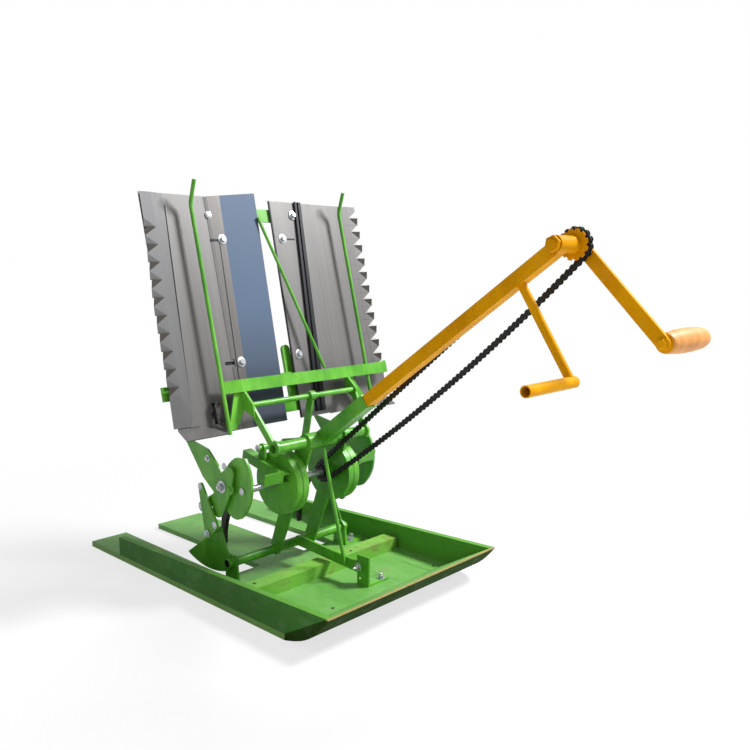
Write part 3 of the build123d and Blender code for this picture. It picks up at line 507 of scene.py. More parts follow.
# %% Give out the finishes
FINISHES = {
    "frame_paint": frame_green,
    "arm_paint": arm_orange,
    "sled_paint": deck_green,
    "tray_steel": tray_steel,
    "sheet_film": sheet_film,
    "chain_steel": chain_black,
    "bright_steel": zinc,
    "claw_steel": claw_black,
    "grip_wood": handle_wood,
}
OWN_FINISHES = {
    "nose_board": nose_shaded_green,
    "side_board_left": side_green,
    "side_board_right": side_green,
    "batten": batten_green,
    "upper_sprocket": arm_orange,
    "crank_axle": arm_orange,
}


def coat(piece, material):
    if piece.material_slots:
        for material_slot in piece.material_slots:
            material_slot.material = material
    else:
        piece.data.materials.append(material)


for part in frame["record"]["subparts"]:
    name = part["node"]
    coat(nodes[name], OWN_FINISHES.get(name, FINISHES[part["material_slot"]]))

# %% [markdown]
# ## Small hardware
# A bolt head, a washer and a nut are all turned or milled bars. Each is modelled the way it is made: a filled
# ring of vertices is extruded along the bar and scaled at each step, so six vertices give a hexagon with a
# chamfer and about thirty give a washer. A finished piece is smoothed, painted and given to its body.


# %% Modelling helpers
def deselect():
    bpy.ops.object.select_all(action="DESELECT")


def turned(name, sides, rings):
    """A closed solid about Z through rings of (radius, height), from the foot upwards."""
    deselect()
    radius, height = rings[0]
    bpy.ops.mesh.primitive_circle_add(
        vertices=sides, radius=radius, fill_type="NGON", location=(0, 0, height)
    )
    piece = bpy.context.active_object
    piece.name = name
    bpy.ops.object.mode_set(mode="EDIT")
    for (last_radius, last_height), (radius, height) in zip(rings, rings[1:]):
        step = (0, 0, height - last_height)
        bpy.ops.mesh.extrude_region_move(TRANSFORM_OT_translate={"value": step})
        ratio = radius / last_radius
        bpy.ops.transform.resize(value=(ratio, ratio, 1.0), center_override=(0, 0, height))
    bpy.ops.mesh.select_all(action="SELECT")
    bpy.ops.mesh.normals_make_consistent(inside=False)
    bpy.ops.object.mode_set(mode="OBJECT")
    bpy.ops.object.transform_apply(location=True, rotation=False, scale=False)
    return piece


def joined(name, pieces):
    deselect()
    for piece in pieces:
        piece.select_set(True)
    bpy.context.view_layer.objects.active = pieces[0]
    if len(pieces) > 1:
        bpy.ops.object.join()
    piece = bpy.context.active_object
    piece.name = name
    return piece


def facing(where, axis, spin=0.0):
    """Matrix that stands a piece at where, with its up turned to axis."""
    turn = Vector((0, 0, 1)).rotation_difference(Vector(axis)).to_matrix().to_4x4()
    return Matrix.Translation(where) @ turn @ Matrix.Rotation(spin, 4, "Z")


def copied(pattern, matrix):
    copy = pattern.copy()
    copy.data = pattern.data.copy()
    copy.data.transform(matrix)
    bpy.context.scene.collection.objects.link(copy)
    return copy


def hand_over(piece, body, material, angle=35.0):
    """Smooths a finished piece, paints it and lets it ride on its body."""
    deselect()
    piece.select_set(True)
    bpy.context.view_layer.objects.active = piece
    bpy.ops.object.shade_smooth_by_angle(angle=math.radians(angle))
    coat(piece, material)
    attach(piece, body)
    return piece


def middle(node):
    """Centre x, y and z of a main piece's box."""
    return [(low + high) / 2 for low, high in zip(*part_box(node))]


print("helpers ready: turned, joined, facing, copied, hand_over, middle")

# %% [markdown]
# Every kind of bolt is modelled once at the origin, pointing up, and copied to its places later. The patterns
# stay in a list, so that they can be removed at the end.

# %% Kinds of bolt
patterns = []


def hex_bolt(name, across, washer, stud=0.0):
    """Washer, chamfered hexagon head and, for a nut, the stud's end."""
    corner = across / math.sqrt(3)
    lift = 0.10 * across
    top = lift + 0.55 * across
    sheet_rings = [(washer * 0.97, 0.0), (washer, lift * 0.3), (washer, lift * 0.8), (washer * 0.94, lift)]
    sheet = turned(name, 28, sheet_rings)
    head = turned("head", 6, [(corner, lift), (corner, top - 0.07 * across), (corner * 0.86, top)])
    made = [sheet, head]
    if stud:
        core = 0.27 * across
        made.append(turned("stud", 16, [(core, top), (core, top + stud * 0.8), (core * 0.7, top + stud)]))
    pattern = joined(name, made)
    patterns.append(pattern)
    return pattern


small_bolt = hex_bolt("small_bolt", 0.009, 0.0085)
frame_bolt = hex_bolt("frame_bolt", 0.012, 0.0120)
frame_nut = hex_bolt("frame_nut", 0.012, 0.0105, 0.005)
strut_nut = hex_bolt("strut_nut", 0.013, 0.0112, 0.009)
big_nut = hex_bolt("big_nut", 0.016, 0.0150, 0.004)
CAP_RINGS = [(0.0086, 0.0), (0.0088, 0.0010), (0.0070, 0.0014), (0.0064, 0.0026), (0.0050, 0.0031)]
low_cap = turned("low_cap", 20, CAP_RINGS)
patterns.append(low_cap)
print("bolt patterns:", [pattern.name for pattern in patterns])

# %% [markdown]
# Most things on the trays are placed by how far across they lie, how far up the leaning bed, and how far in
# front of it. One helper turns these three into a point, so that no place is worked out by hand.

# %% Points on the bed
OUT = {"left": -1.0, "right": 1.0}
FORWARD = Vector((0.0, -math.cos(LEAN), math.sin(LEAN)))
UP_BED = Vector((0.0, math.sin(LEAN), math.cos(LEAN)))
BED_FOOT = Vector((0.0, -0.055, 0.388))


def on_bed(x, s, n=0.0):
    """Point x across, s up the bed and n in front of it."""
    return Vector((x, 0.0, 0.0)) + BED_FOOT + UP_BED * s + FORWARD * n


print("the bed's top is at height", round(on_bed(0.0, 0.56).z, 3))

# %% [markdown]
# Where each bolt sits follows from the piece that it clamps. The machine has two like sides, so most places
# are written once and mirrored. A body's bolts are joined into one piece, which then rides on that body.

# %% Places of the bolts
CAM_FACE, ARM_FACE, ROCKER_FACE, GUARD_FACE = 0.205, 0.214, 0.224, 0.226    # x of the outer faces
GUIDE_BAR = (-0.062, 0.337)                                                 # y and z
TRAY_BOLTS = (                                                              # x, up the bed, in front in mm
    (-0.1325, 0.454, 2), (-0.1385, 0.157, 2), (0.1025, 0.5235, 3), (0.056, 0.460, 2), (0.043, 0.1615, 2)
)
bolts = {}


def bolt(body, pattern, where, axis, spin=0.3):
    bolts.setdefault(body, []).append(copied(pattern, facing(where, axis, spin)))


_, shaft_y, shaft_z = middle("main_shaft")
for side, out in OUT.items():
    outward = (out, 0.0, 0.0)
    planter, rocker = f"planter_{side}", f"rocker_link_{side}"
    arm_face, rocker_face = out * ARM_FACE, out * ROCKER_FACE
    bolt("drive_shaft", low_cap, (out * CAM_FACE, shaft_y, shaft_z), outward)
    bolt(planter, big_nut, (arm_face, shaft_y + 0.064, shaft_z + 0.001), outward)
    bolt(planter, low_cap, (arm_face, shaft_y + 0.052, shaft_z + 0.052), outward, 0.1)
    bolt(planter, low_cap, (arm_face, 0.052, 0.190), outward, 0.7)
    bolt(planter, small_bolt, (arm_face, shaft_y + 0.118, shaft_z + 0.060), outward)
    bolt(rocker, low_cap, (rocker_face, 0.040, 0.244), outward)
    bolt(rocker, low_cap, (rocker_face, -0.014, 0.160), outward, 0.8)
    bolt("root", small_bolt, (out * GUARD_FACE, 0.014, 0.134), outward, 0.5)
    bolt("root", low_cap, (out * 0.129, *GUIDE_BAR), outward)
    for x, y in ((0.206, -0.032), (0.234, -0.012)):
        bolt("root", frame_bolt, (out * x, y, 0.018), (0, 0, 1), x * 9.0)
for x, y in ((0.038, -0.262), (0.066, -0.280)):
    bolt("root", frame_nut, (x, y, 0.019), (0, 0, 1), y * 11.0)
bolt("root", big_nut, (0.017, -0.262, 0.058), (1, 0, 0))
bolt("root", strut_nut, (0.006, -0.262, 0.058), (-1, 0, 0))
for x, s, millimetres in TRAY_BOLTS:
    bolt("carriage", frame_bolt, on_bed(x, s, millimetres / 1000.0), FORWARD, x * 30.0)
bolt("carriage", low_cap, on_bed(-0.160, 0.512, 0.0015), FORWARD)
for body, copies in bolts.items():
    hand_over(joined(f"bolts_{body}", copies), body, zinc)
print("bolts placed:", {body: len(copies) for body, copies in bolts.items()})

# %% [markdown]
# The foot tube's open ends stand out through the guards. Each is a cup: the rings go up outside, over the rim
# and down inside. The faces inside get the black finish as painted shade, for the dark inside the open tube.

# %% Tube ends
_, foot_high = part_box("foot_tube")
_, foot_y, foot_z = middle("foot_tube")
TUBE_CUP = [(0.0119, 0.0), (0.0119, 0.0100), (0.0113, 0.0106), (0.0094, 0.0106), (0.0091, 0.0010)]
TUBE_BORE, CUP_FLOOR = 0.0093, 0.0005
tube_ends = []
for out in OUT.values():
    cup = turned("tube_end", 40, TUBE_CUP)
    # Faces inside the cup take the black as painted shade.
    for face in cup.data.polygons:
        reach = math.hypot(face.center.x, face.center.y)
        face.material_index = 1 if reach < TUBE_BORE and face.center.z > CUP_FLOOR else 0
    cup.data.materials.append(frame_green)
    cup.data.materials.append(claw_black)
    cup.data.transform(facing((out * (foot_high[0] - 0.0004), foot_y, foot_z), (out, 0, 0)))
    tube_ends.append(cup)
tube_end = joined("tube_ends", tube_ends)
deselect()
tube_end.select_set(True)
bpy.ops.object.shade_smooth_by_angle(angle=math.radians(35.0))
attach(tube_end, "root")
print("tube ends at", round(foot_y, 4), round(foot_z, 4))

# %% [markdown]
# The hand crank turns in the hub at the head of the arm. A plain hexagon nut holds the axle's left end, and a
# bolt head on a washer closes the flat crank on the right. All three went through the arm's orange spray.

# %% Hub nuts
_, hub_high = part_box("crank_axle")
_, hub_y, hub_z = middle("crank_axle")
SLEEVE_END = -0.026
hub_nut = turned("hub_nut", 6, [(0.0138, 0.0004), (0.0152, 0.0014), (0.0152, 0.0090), (0.0134, 0.0102)])
hub_nut.data.transform(facing((SLEEVE_END, hub_y, hub_z), (-1, 0, 0), 0.35))
hub_head = turned("hub_head", 6, [(0.0125, 0.0), (0.0125, 0.0072), (0.0108, 0.0086)])
hub_head.data.transform(facing((hub_high[0], hub_y, hub_z), (1, 0, 0), 0.2))
hub_washer = turned("hub_washer", 32, [(0.0165, 0.0), (0.0170, 0.0006), (0.0170, 0.0016), (0.0160, 0.0022)])
hub_washer.data.transform(facing((hub_high[0] - 0.0004, hub_y, hub_z), (1, 0, 0)))
hand_over(joined("hub_nuts", [hub_nut, hub_head, hub_washer]), "crank", arm_orange)
print("hub nuts at", round(hub_y, 4), round(hub_z, 4))

# %% [markdown]
# The wooden handle is turned on a lathe, so its outline is a list of radii and lengths, written in
# millimetres. It takes the place of the plain handle in the frame and spins on the crank's pin. The painted
# ferrule, the plated end cap and the bolt head opposite sit still on the crank.

# %% Wooden handle
pin_low, pin_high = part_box("hand_crank")
knob_low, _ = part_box("crank_handle")
_, pin_y, pin_z = middle("crank_handle")
FERRULE_RINGS = [(0.0150, 0.0), (0.0168, 0.0006), (0.0172, 0.0040), (0.0166, 0.0064), (0.0150, 0.0070)]
ferrule = turned("ferrule", 36, FERRULE_RINGS)
ferrule.data.transform(facing((knob_low[0] - 0.0006, pin_y, pin_z), (1, 0, 0)))
hand_over(ferrule, "crank", arm_orange)
GRIP_RINGS = [(17.2, 0), (18.4, 2), (19.4, 12), (20.8, 30), (22.2, 52), (22.9, 78), (22.8, 105), (22.0, 130)]
GRIP_RINGS += [(20.6, 150), (18.6, 162), (15.5, 168.5), (11.0, 171.8)]
wood_grip = turned("wood_grip", 48, [(radius / 1000, height / 1000) for radius, height in GRIP_RINGS])
wood_grip.data.transform(facing((knob_low[0], pin_y, pin_z), (1, 0, 0)))
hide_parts("crank_handle")
hand_over(wood_grip, "crank_knob", handle_wood, 60.0)
end_cap = turned("end_cap", 24, [(0.0078, 0.0), (0.0082, 0.0006), (0.0082, 0.0018), (0.0050, 0.0030)])
end_cap.data.transform(facing((pin_high[0] - 0.0002, pin_y, pin_z), (1, 0, 0)))
hand_over(end_cap, "crank", zinc)
crank_washer = turned("crank_bolt", 28, [(0.0118, 0.0), (0.0122, 0.0006), (0.0122, 0.0018), (0.0112, 0.0024)])
crank_head = turned("crank_head", 6, [(0.0088, 0.0020), (0.0088, 0.0076), (0.0074, 0.0088)])
crank_bolt = joined("crank_bolt", [crank_washer, crank_head])
crank_bolt.data.transform(facing((pin_low[0] + 0.0001, pin_y, pin_z), (-1, 0, 0), 0.2))
hand_over(crank_bolt, "crank", arm_orange)
print("handle", GRIP_RINGS[-1][1], "mm long, with ferrule, end cap and crank bolt")

# %% [markdown]
# ## The chain, link by link
# A roller chain hangs in a closed loop: round the lower sprocket, straight along the tight run, round the
# upper one, and back in a shallow arc that sags. Each stretch is an arc or a line, so the place of a pin
# follows from how far along the loop it lies.

# %% Loop of the pins
PITCH = 0.0127
CHAIN_X = 0.050
CHAIN_SAG = 0.020
ROLLER = 0.0030
TIP_GAP = 0.0003


def pin_circle(teeth):
    return PITCH / (2 * math.sin(math.pi / teeth)) + TIP_GAP + ROLLER


LOW = Vector((shaft_y, shaft_z))
HIGH = Vector((hub_y, hub_z))
LOW_R, HIGH_R = pin_circle(9), pin_circle(12)
span = (HIGH - LOW).length
run_angle = math.atan2(HIGH.y - LOW.y, HIGH.x - LOW.x)
tight_angle = run_angle - math.pi / 2 - math.asin((HIGH_R - LOW_R) / span)
slack_r = span**2 / (8 * CHAIN_SAG)
along = ((slack_r - LOW_R) ** 2 - (slack_r - HIGH_R) ** 2 + span**2) / (2 * span)
across = math.sqrt((slack_r - LOW_R) ** 2 - along**2)
RUN = Vector((math.cos(run_angle), math.sin(run_angle)))
SLACK = LOW + RUN * along + Vector((RUN.y, -RUN.x)) * across


def angle_from(centre, point):
    return math.atan2(point.y - centre.y, point.x - centre.x) % (2 * math.pi)


leave_hub, reach_shaft = angle_from(SLACK, HIGH), angle_from(SLACK, LOW)
tight_length = math.sqrt(span**2 - (HIGH_R - LOW_R) ** 2)
stretches = (
    (HIGH_R * (leave_hub - tight_angle), HIGH, HIGH_R, tight_angle),
    (slack_r * (reach_shaft - leave_hub), SLACK, slack_r, leave_hub),
    (LOW_R * (tight_angle + 2 * math.pi - reach_shaft), LOW, LOW_R, reach_shaft),
)
loop_length = tight_length + sum(stretch[0] for stretch in stretches)
LINKS = 2 * round(loop_length / PITCH / 2)


def turned_out(centre, radius, angle):
    return centre + Vector((math.cos(angle), math.sin(angle))) * radius


def pin_at(travel):
    """Place (y, z) of a pin that far along the loop."""
    travel %= loop_length
    if travel < tight_length:
        return turned_out(turned_out(LOW, LOW_R, tight_angle), travel, tight_angle + math.pi / 2)
    travel -= tight_length
    for length, centre, radius, begin in stretches:
        if travel < length:
            return turned_out(centre, radius, begin + travel / radius)
        travel -= length
    return turned_out(LOW, LOW_R, tight_angle)


print("chain of", LINKS, "links,", round(loop_length, 3), "m round")


# %% [markdown]
# The chain is two kinds of link in turn: inner links with rollers, and outer links with pins. All plates have
# the same waisted outline, which is a ring of vertices pulled apart by one pitch and pinched at the middle.
# Each kind of link is modelled once and copied along the loop.


# %% Links
PLATE, WAIST = 0.0011, 0.62          # thickness of a plate, and its narrowest height as a share


def link_plate(name, x_low, height):
    """Plate in the YZ plane from a pin at the origin to one a pitch along Y, waisted between."""
    deselect()
    place, turn = (x_low + PLATE / 2, 0, 0), (0, math.pi / 2, 0)
    bpy.ops.mesh.primitive_cylinder_add(
        vertices=12, radius=height / 2, depth=PLATE, rotation=turn, location=place
    )
    piece = bpy.context.active_object
    piece.name = name
    bpy.ops.object.transform_apply(location=True, rotation=True, scale=True)
    for vertex in piece.data.vertices:
        if vertex.co.y > 0:
            vertex.co.y += PITCH
    bpy.ops.object.mode_set(mode="EDIT")
    bpy.ops.mesh.select_all(action="SELECT")
    bpy.ops.mesh.bisect(plane_co=(0, PITCH / 2, 0), plane_no=(0, 1, 0))
    bpy.ops.object.mode_set(mode="OBJECT")
    for vertex in piece.data.vertices:
        if abs(vertex.co.y - PITCH / 2) < 1e-5:
            vertex.co.z *= WAIST
    return piece


def barrel(name, half, radius, sides, shift):
    """Roller or pin across the chain, with its ends a little rounded, shift along Y."""
    x_low, x_high = CHAIN_X - half, CHAIN_X + half
    length = x_high - x_low
    rings = [(radius * 0.88, 0.0), (radius, 0.0004), (radius, length - 0.0004), (radius * 0.88, length)]
    piece = turned(name, sides, rings)
    piece.data.transform(facing((x_low, 0, 0), (1, 0, 0)))
    piece.data.transform(Matrix.Translation((0, shift, 0)))
    return piece


def link(name, half, height, *barrel_sizes):
    """Two plates half a width from the chain's middle, and a barrel at either pin."""
    return joined(name, [
        link_plate("plate_left", CHAIN_X - half, height),
        link_plate("plate_right", CHAIN_X + half - PLATE, height),
        barrel("barrel", *barrel_sizes, 0.0),
        barrel("barrel", *barrel_sizes, PITCH),
    ])


inner_link = link("inner_link", 0.0034, 0.0132, 0.0022, ROLLER, 10)
outer_link = link("outer_link", 0.0047, 0.0128, 0.0056, 0.0018, 8)
patterns += [inner_link, outer_link]
links = []
step = loop_length / LINKS
for k in range(LINKS):
    start, end = pin_at(k * step), pin_at((k + 1) * step)
    slope = math.atan2(end.y - start.y, end.x - start.x)
    place = Matrix.Translation((0, start.x, start.y)) @ Matrix.Rotation(slope, 4, "X")
    links.append(copied((inner_link, outer_link)[k % 2], place))
chain_links = joined("chain_links", links)
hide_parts("chain")
hand_over(chain_links, "root", chain_black)
print("chain triangles:", sum(len(face.vertices) - 2 for face in chain_links.data.polygons))

# %% [markdown]
# ## Welds
# The tubes are welded all round, and a weld bead is a lumpy ring. A torus whose vertices are pushed about at
# random, always from the same seed, gives the ripples that a torch leaves.


# %% Weld beads
# radius of the ring and of the bead, by what is welded
LINK_BEAD, SLIDE_BEAD, FOOT_BEAD = (0.0070, 0.0014), (0.0136, 0.0016), (0.0126, 0.0016)
GUIDE_BEAD, SHAFT_BEAD = (0.0076, 0.0014), (0.0088, 0.0015)
FOOT_TUBE = (-0.022, 0.060)          # y and z


def weld_ring(x, y, z, bead, seed):
    """Bead round a tube that runs across the machine."""
    deselect()
    bpy.ops.mesh.primitive_torus_add(
        major_radius=bead[0], minor_radius=bead[1], major_segments=44, minor_segments=8, location=(0, 0, 0)
    )
    piece = bpy.context.active_object
    bpy.ops.object.mode_set(mode="EDIT")
    bpy.ops.mesh.select_all(action="SELECT")
    bpy.ops.transform.vertex_random(offset=bead[1] * 0.35, normal=0.7, seed=seed)
    bpy.ops.object.mode_set(mode="OBJECT")
    piece.data.transform(facing((x, y, z), (1, 0, 0)))
    return piece


_, link_y, link_z = middle("link_tube")
_, slide_y, slide_z = middle("slide_tube")
carriage_welds, root_welds, shaft_welds = [], [], []
for number, out in enumerate(OUT.values()):
    carriage_welds.append(weld_ring(out * 0.165, link_y, link_z, LINK_BEAD, 11 + number))
    carriage_welds.append(weld_ring(out * 0.143, slide_y, slide_z, SLIDE_BEAD, 21 + number))
    carriage_welds.append(weld_ring(out * 0.149, slide_y, slide_z, SLIDE_BEAD, 31 + number))
    for x in (0.178, 0.184):
        root_welds.append(weld_ring(out * x, *FOOT_TUBE, FOOT_BEAD, 41 + number))
    shaft_welds.append(weld_ring(out * 0.197, shaft_y, shaft_z, SHAFT_BEAD, 51 + number))
for x, seed in ((-0.049, 61), (-0.043, 62), (0.067, 63), (0.073, 64)):
    root_welds.append(weld_ring(x, *FOOT_TUBE, FOOT_BEAD, seed))
    root_welds.append(weld_ring(x, *GUIDE_BAR, GUIDE_BEAD, seed + 10))
hand_over(joined("welds_carriage", carriage_welds), "carriage", frame_green, 60.0)
hand_over(joined("welds_frame", root_welds), "root", frame_green, 60.0)
hand_over(joined("welds_shaft", shaft_welds), "drive_shaft", frame_green, 60.0)
print("weld beads:", len(carriage_welds) + len(root_welds) + len(shaft_welds))

# %% [markdown]
# ## Trim and painted shade on the trays
# Black strips are painted shade: one along the right sheet's inner edge, a channel of three over the joint
# between the right sheet and its tray, and a thin line along the seam on the left. Dark plates in the bolt
# slots are painted shade as well. All of these are strips that lie on the bed, so one helper makes them: a
# flat plate with its four corners given on the bed, raised and bevelled.


# %% Strips on the bed
def bed_strip(name, foot, top, low, thick, round_off=0.0):
    """Strip from foot (x0, x1, s) to top (x0, x1, s), standing thick proud of low in front of the bed."""
    deselect()
    bpy.ops.mesh.primitive_plane_add(size=2.0)
    piece = bpy.context.active_object
    piece.name = name
    for vertex in piece.data.vertices:
        x0, x1, s = top if vertex.co.y > 0 else foot
        vertex.co = on_bed(x1 if vertex.co.x > 0 else x0, s, low)
    bpy.ops.object.mode_set(mode="EDIT")
    bpy.ops.mesh.select_all(action="SELECT")
    bpy.ops.mesh.extrude_region_move(TRANSFORM_OT_translate={"value": tuple(FORWARD * thick)})
    bpy.ops.mesh.select_all(action="SELECT")
    bpy.ops.mesh.normals_make_consistent(inside=False)
    bpy.ops.object.mode_set(mode="OBJECT")
    if round_off:
        bevel = piece.modifiers.new("edges", "BEVEL")
        bevel.width = round_off
        bevel.segments = 3
        bpy.ops.object.modifier_apply(modifier=bevel.name)
    return piece


STRIP_FOOT, STRIP_TOP = 0.012, 0.560         # of the channel, up the bed
# Painted shade along the right sheet's inner edge.
edge_shade = bed_strip("sheet_edge_shade", (0.0125, 0.0165, 0.003), (0.0275, 0.0325, 0.558), 0.0, 0.0040, 0.0008)
# Black strips over the joint between the right sheet and its tray, as painted shade of the gap.
CHANNEL_STRIPS = (                           # edges at the foot, edges at the top, low, thick, bevel
    (0.066, 0.101, 0.113, 0.138, 0.0021, 0.0012, 0.0004),
    (0.066, 0.071, 0.113, 0.117, 0.0030, 0.0050, 0.0008),
    (0.084, 0.090, 0.126, 0.130, 0.0030, 0.0035, 0.0008),
)
channel_shade = [
    bed_strip("channel_shade", (x0, x1, STRIP_FOOT), (x2, x3, STRIP_TOP), low, thick, round_off)
    for x0, x1, x2, x3, low, thick, round_off in CHANNEL_STRIPS
]
# Thin black line as a painted shadow along the edge of the left inner sheet.
seam = bed_strip("seam_shadow", (-0.1572, -0.1548, 0.060), (-0.1421, -0.1405, 0.458), 0.0020, 0.0006)
# Dark plates as painted shade in the bolt slots; the last lies behind the bed.
slot_shades = [
    bed_strip("slot", (-0.1650, -0.1440, 0.4490), (-0.1650, -0.1440, 0.4550), 0.0018, 0.0006, 0.0001),
    bed_strip("slot", (0.0680, 0.0960, 0.4580), (0.0680, 0.0960, 0.4620), 0.0020, 0.0004, 0.0001),
    bed_strip("slot", (-0.1900, -0.1520, 0.1480), (-0.1900, -0.1520, 0.1660), -0.0040, 0.0012, 0.0003),
]
trim = joined("tray_shade_strips", [edge_shade, *channel_shade, seam, *slot_shades])
hand_over(trim, "carriage", tray_shade_black)
print("trim triangles:", sum(len(face.vertices) - 2 for face in trim.data.polygons))

# %% [markdown]
# The left inner sheet ends in a thin hem, a wedge that runs out flat on the tray, with a gap for the lower
# slot. A small steel patch closes the one slot in the right tray that has no bolt. The latch clip beside the
# left rod is a black C of bent strip, so it is built from four strips again.

# %% Hems and clip
HEM_X = (-0.1650, -0.1570)
HEM_THIN = 0.0012                    # how far the wedge's outer edge is let down
hems = [
    bed_strip("sheet_hem", (*HEM_X, s_low), (*HEM_X, s_high), 0.0004, 0.0016)
    for s_low, s_high in ((0.003, 0.148), (0.166, 0.556))
]
for hem in hems:
    for vertex in hem.data.vertices:
        if vertex.co.x < -0.161 and (vertex.co - BED_FOOT).dot(FORWARD) > 0.001:
            vertex.co -= FORWARD * HEM_THIN
hems.append(bed_strip("slot_patch", (0.1560, 0.1860, 0.1520), (0.1560, 0.1860, 0.1620), -0.0016, 0.0018))
hand_over(joined("sheet_hem", hems), "carriage", tray_steel)
CLIP_STRIPS = {                      # x from, x to, s from, s to, low, thick
    "clip_back": (-0.2440, -0.2395, 0.022, 0.070, 0.0060, 0.0120),
    "clip_top": (-0.2440, -0.2290, 0.064, 0.070, 0.0060, 0.0120),
    "clip_foot": (-0.2440, -0.2290, 0.022, 0.028, 0.0060, 0.0120),
    "clip_seat": (-0.2440, -0.2300, 0.040, 0.052, 0.0000, 0.0070),
}
clip = [
    bed_strip(name, (x0, x1, foot), (x0, x1, top), low, thick, 0.0010)
    for name, (x0, x1, foot, top, low, thick) in CLIP_STRIPS.items()
]
hand_over(joined("rod_clip", clip), "carriage", claw_black)
print("hems:", len(hems), "clip strips:", len(clip))

# %% [markdown]
# ## Toothed edges
# A strip along each tray's outer edge is folded up from the bed and cut at even steps. Above each cut the
# corner is bent back, and on the right tray it is a near-white painted highlight; below it the corner is bent
# forward and faces down, and on both trays it is a dark painted shade. A grid with three columns of vertices
# gives the strip, its rim is split at the cuts, and Solidify gives the sheet its thickness.


# %% Tooth bands
BAND_IN = (0.060, 0.029, 0.0)        # inner edge, end of the cuts and rim, in from the rim
BAND_LIFT = 0.0065                   # of the strip in front of the bed
CORNER = 0.0195                      # bent corner's length along the rim
BENT_BACK = {"left": 0.0045, "right": 0.0005}
BENT_FORWARD = 0.0120
BAND_FOOT, BAND_TOP = 0.026, 0.557
BAND_SHEET, BAND_SEAT = 0.0012, 0.0006
RIM_X = {"left": 0.337, "right": 0.3345}
FLARE, FLARE_TOP, FLARE_LENGTH = 0.011, 0.50, 0.20      # the left rim runs out below its top


def rim_x(side, s):
    """Distance of the strip's rim from the middle, s up the bed."""
    flare = min(max((FLARE_TOP - s) / FLARE_LENGTH, 0.0), 1.0)
    return RIM_X[side] + FLARE * flare if side == "left" else RIM_X[side]


def tooth_band(side, out, cuts):
    """Strip with a split and two bent corners at each cut."""
    rows = [BAND_FOOT]
    for s in cuts:
        rows += [s - CORNER, s, s + CORNER]
    rows.append(BAND_TOP)
    deselect()
    bpy.ops.mesh.primitive_grid_add(x_subdivisions=2, y_subdivisions=len(rows) - 1, size=2.0)
    piece = bpy.context.active_object
    piece.name = f"tooth_band_{side}"
    bpy.ops.object.mode_set(mode="EDIT")
    shell = bmesh.from_edit_mesh(piece.data)
    column = shell.verts.layers.int.new("column")
    row = shell.verts.layers.int.new("row")
    for vertex in shell.verts:
        vertex[column] = round(vertex.co.x + 1)
        vertex[row] = round((vertex.co.y + 1) / 2 * (len(rows) - 1))
        s = rows[vertex[row]]
        lift = BAND_LIFT if s > BAND_FOOT else BAND_LIFT / 2
        x = out * (rim_x(side, s) - BAND_IN[vertex[column]])
        vertex.co = on_bed(x, s, (BAND_SEAT, lift, lift)[vertex[column]])
    split = [
        edge
        for edge in shell.edges
        if {vertex[column] for vertex in edge.verts} == {1, 2}
        and edge.verts[0][row] == edge.verts[1][row]
        and edge.verts[0][row] % 3 == 2
        and edge.verts[0][row] < len(rows) - 1
    ]
    bmesh.ops.split_edges(shell, edges=split)
    for face in list(shell.faces):
        low_row = min(vertex[row] for vertex in face.verts)
        inside = max(vertex[column] for vertex in face.verts) < 2
        if inside or low_row % 3 == 0 or low_row + 1 == len(rows) - 1:
            continue
        above = low_row % 3 == 2
        cut_row = low_row if above else low_row + 1
        inner = next(v for v in face.verts if v[column] == 1 and v[row] == cut_row)
        bent = next(v for v in face.verts if v[column] == 2 and v[row] == cut_row)
        far = next(v for v in face.verts if v[column] == 2 and v[row] != cut_row)
        bent.co += FORWARD * ((BENT_BACK[side] if above else BENT_FORWARD) - BAND_LIFT)
        bmesh.utils.face_split(face, inner, far)
        # The bent corner's triangle takes the second finish above a cut, a painted highlight on the right,
        # and the third, a painted shade, below it.
        next(f for f in bent.link_faces if len(f.verts) == 3).material_index = 1 if above else 2
    bmesh.ops.recalc_face_normals(shell, faces=shell.faces[:])
    if sum(face.normal.dot(FORWARD) for face in shell.faces) < 0:
        bmesh.ops.reverse_faces(shell, faces=shell.faces[:])
    bmesh.update_edit_mesh(piece.data)
    bpy.ops.object.mode_set(mode="OBJECT")
    wall = piece.modifiers.new("sheet", "SOLIDIFY")
    wall.thickness = BAND_SHEET
    wall.offset = -1.0
    bpy.ops.object.modifier_apply(modifier=wall.name)
    return piece


CUTS = {
    "left": [0.117 + 0.040 * k for k in range(10)],
    "right": [0.103 + 0.0383 * k for k in range(12)],
}
# On the right the corner above a cut is a painted highlight; on both sides the corner below is painted shade.
BAND_FINISHES = {                    # sheet, corner above a cut, corner below it
    "left": ("tooth_steel", "tooth_steel", "tooth_painted_shade"),
    "right": ("tray_steel", "tooth_painted_highlight", "tooth_painted_shade"),
}
for side, out in OUT.items():
    band = tooth_band(side, out, CUTS[side])
    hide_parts(f"tooth_edge_{side}")
    for name in BAND_FINISHES[side]:
        band.data.materials.append(steels[name])
    deselect()
    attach(band, "carriage")
    print(band.name, len(band.data.polygons), "faces,", len(CUTS[side]), "cuts")

# %% [markdown]
# ## Nose board
# The nose is a thick board whose outside was rounded off, so it bulges a little. A plane gets the corners of
# the board's section, its outer edge is cut into short pieces that are pushed out along a sine, and the
# section is extruded across the sled.


# %% Nose board
NOSE_BULGE, NOSE_CUTS = 0.017, 11
TOUCH = 1e-5                         # nearer than this counts as on a line


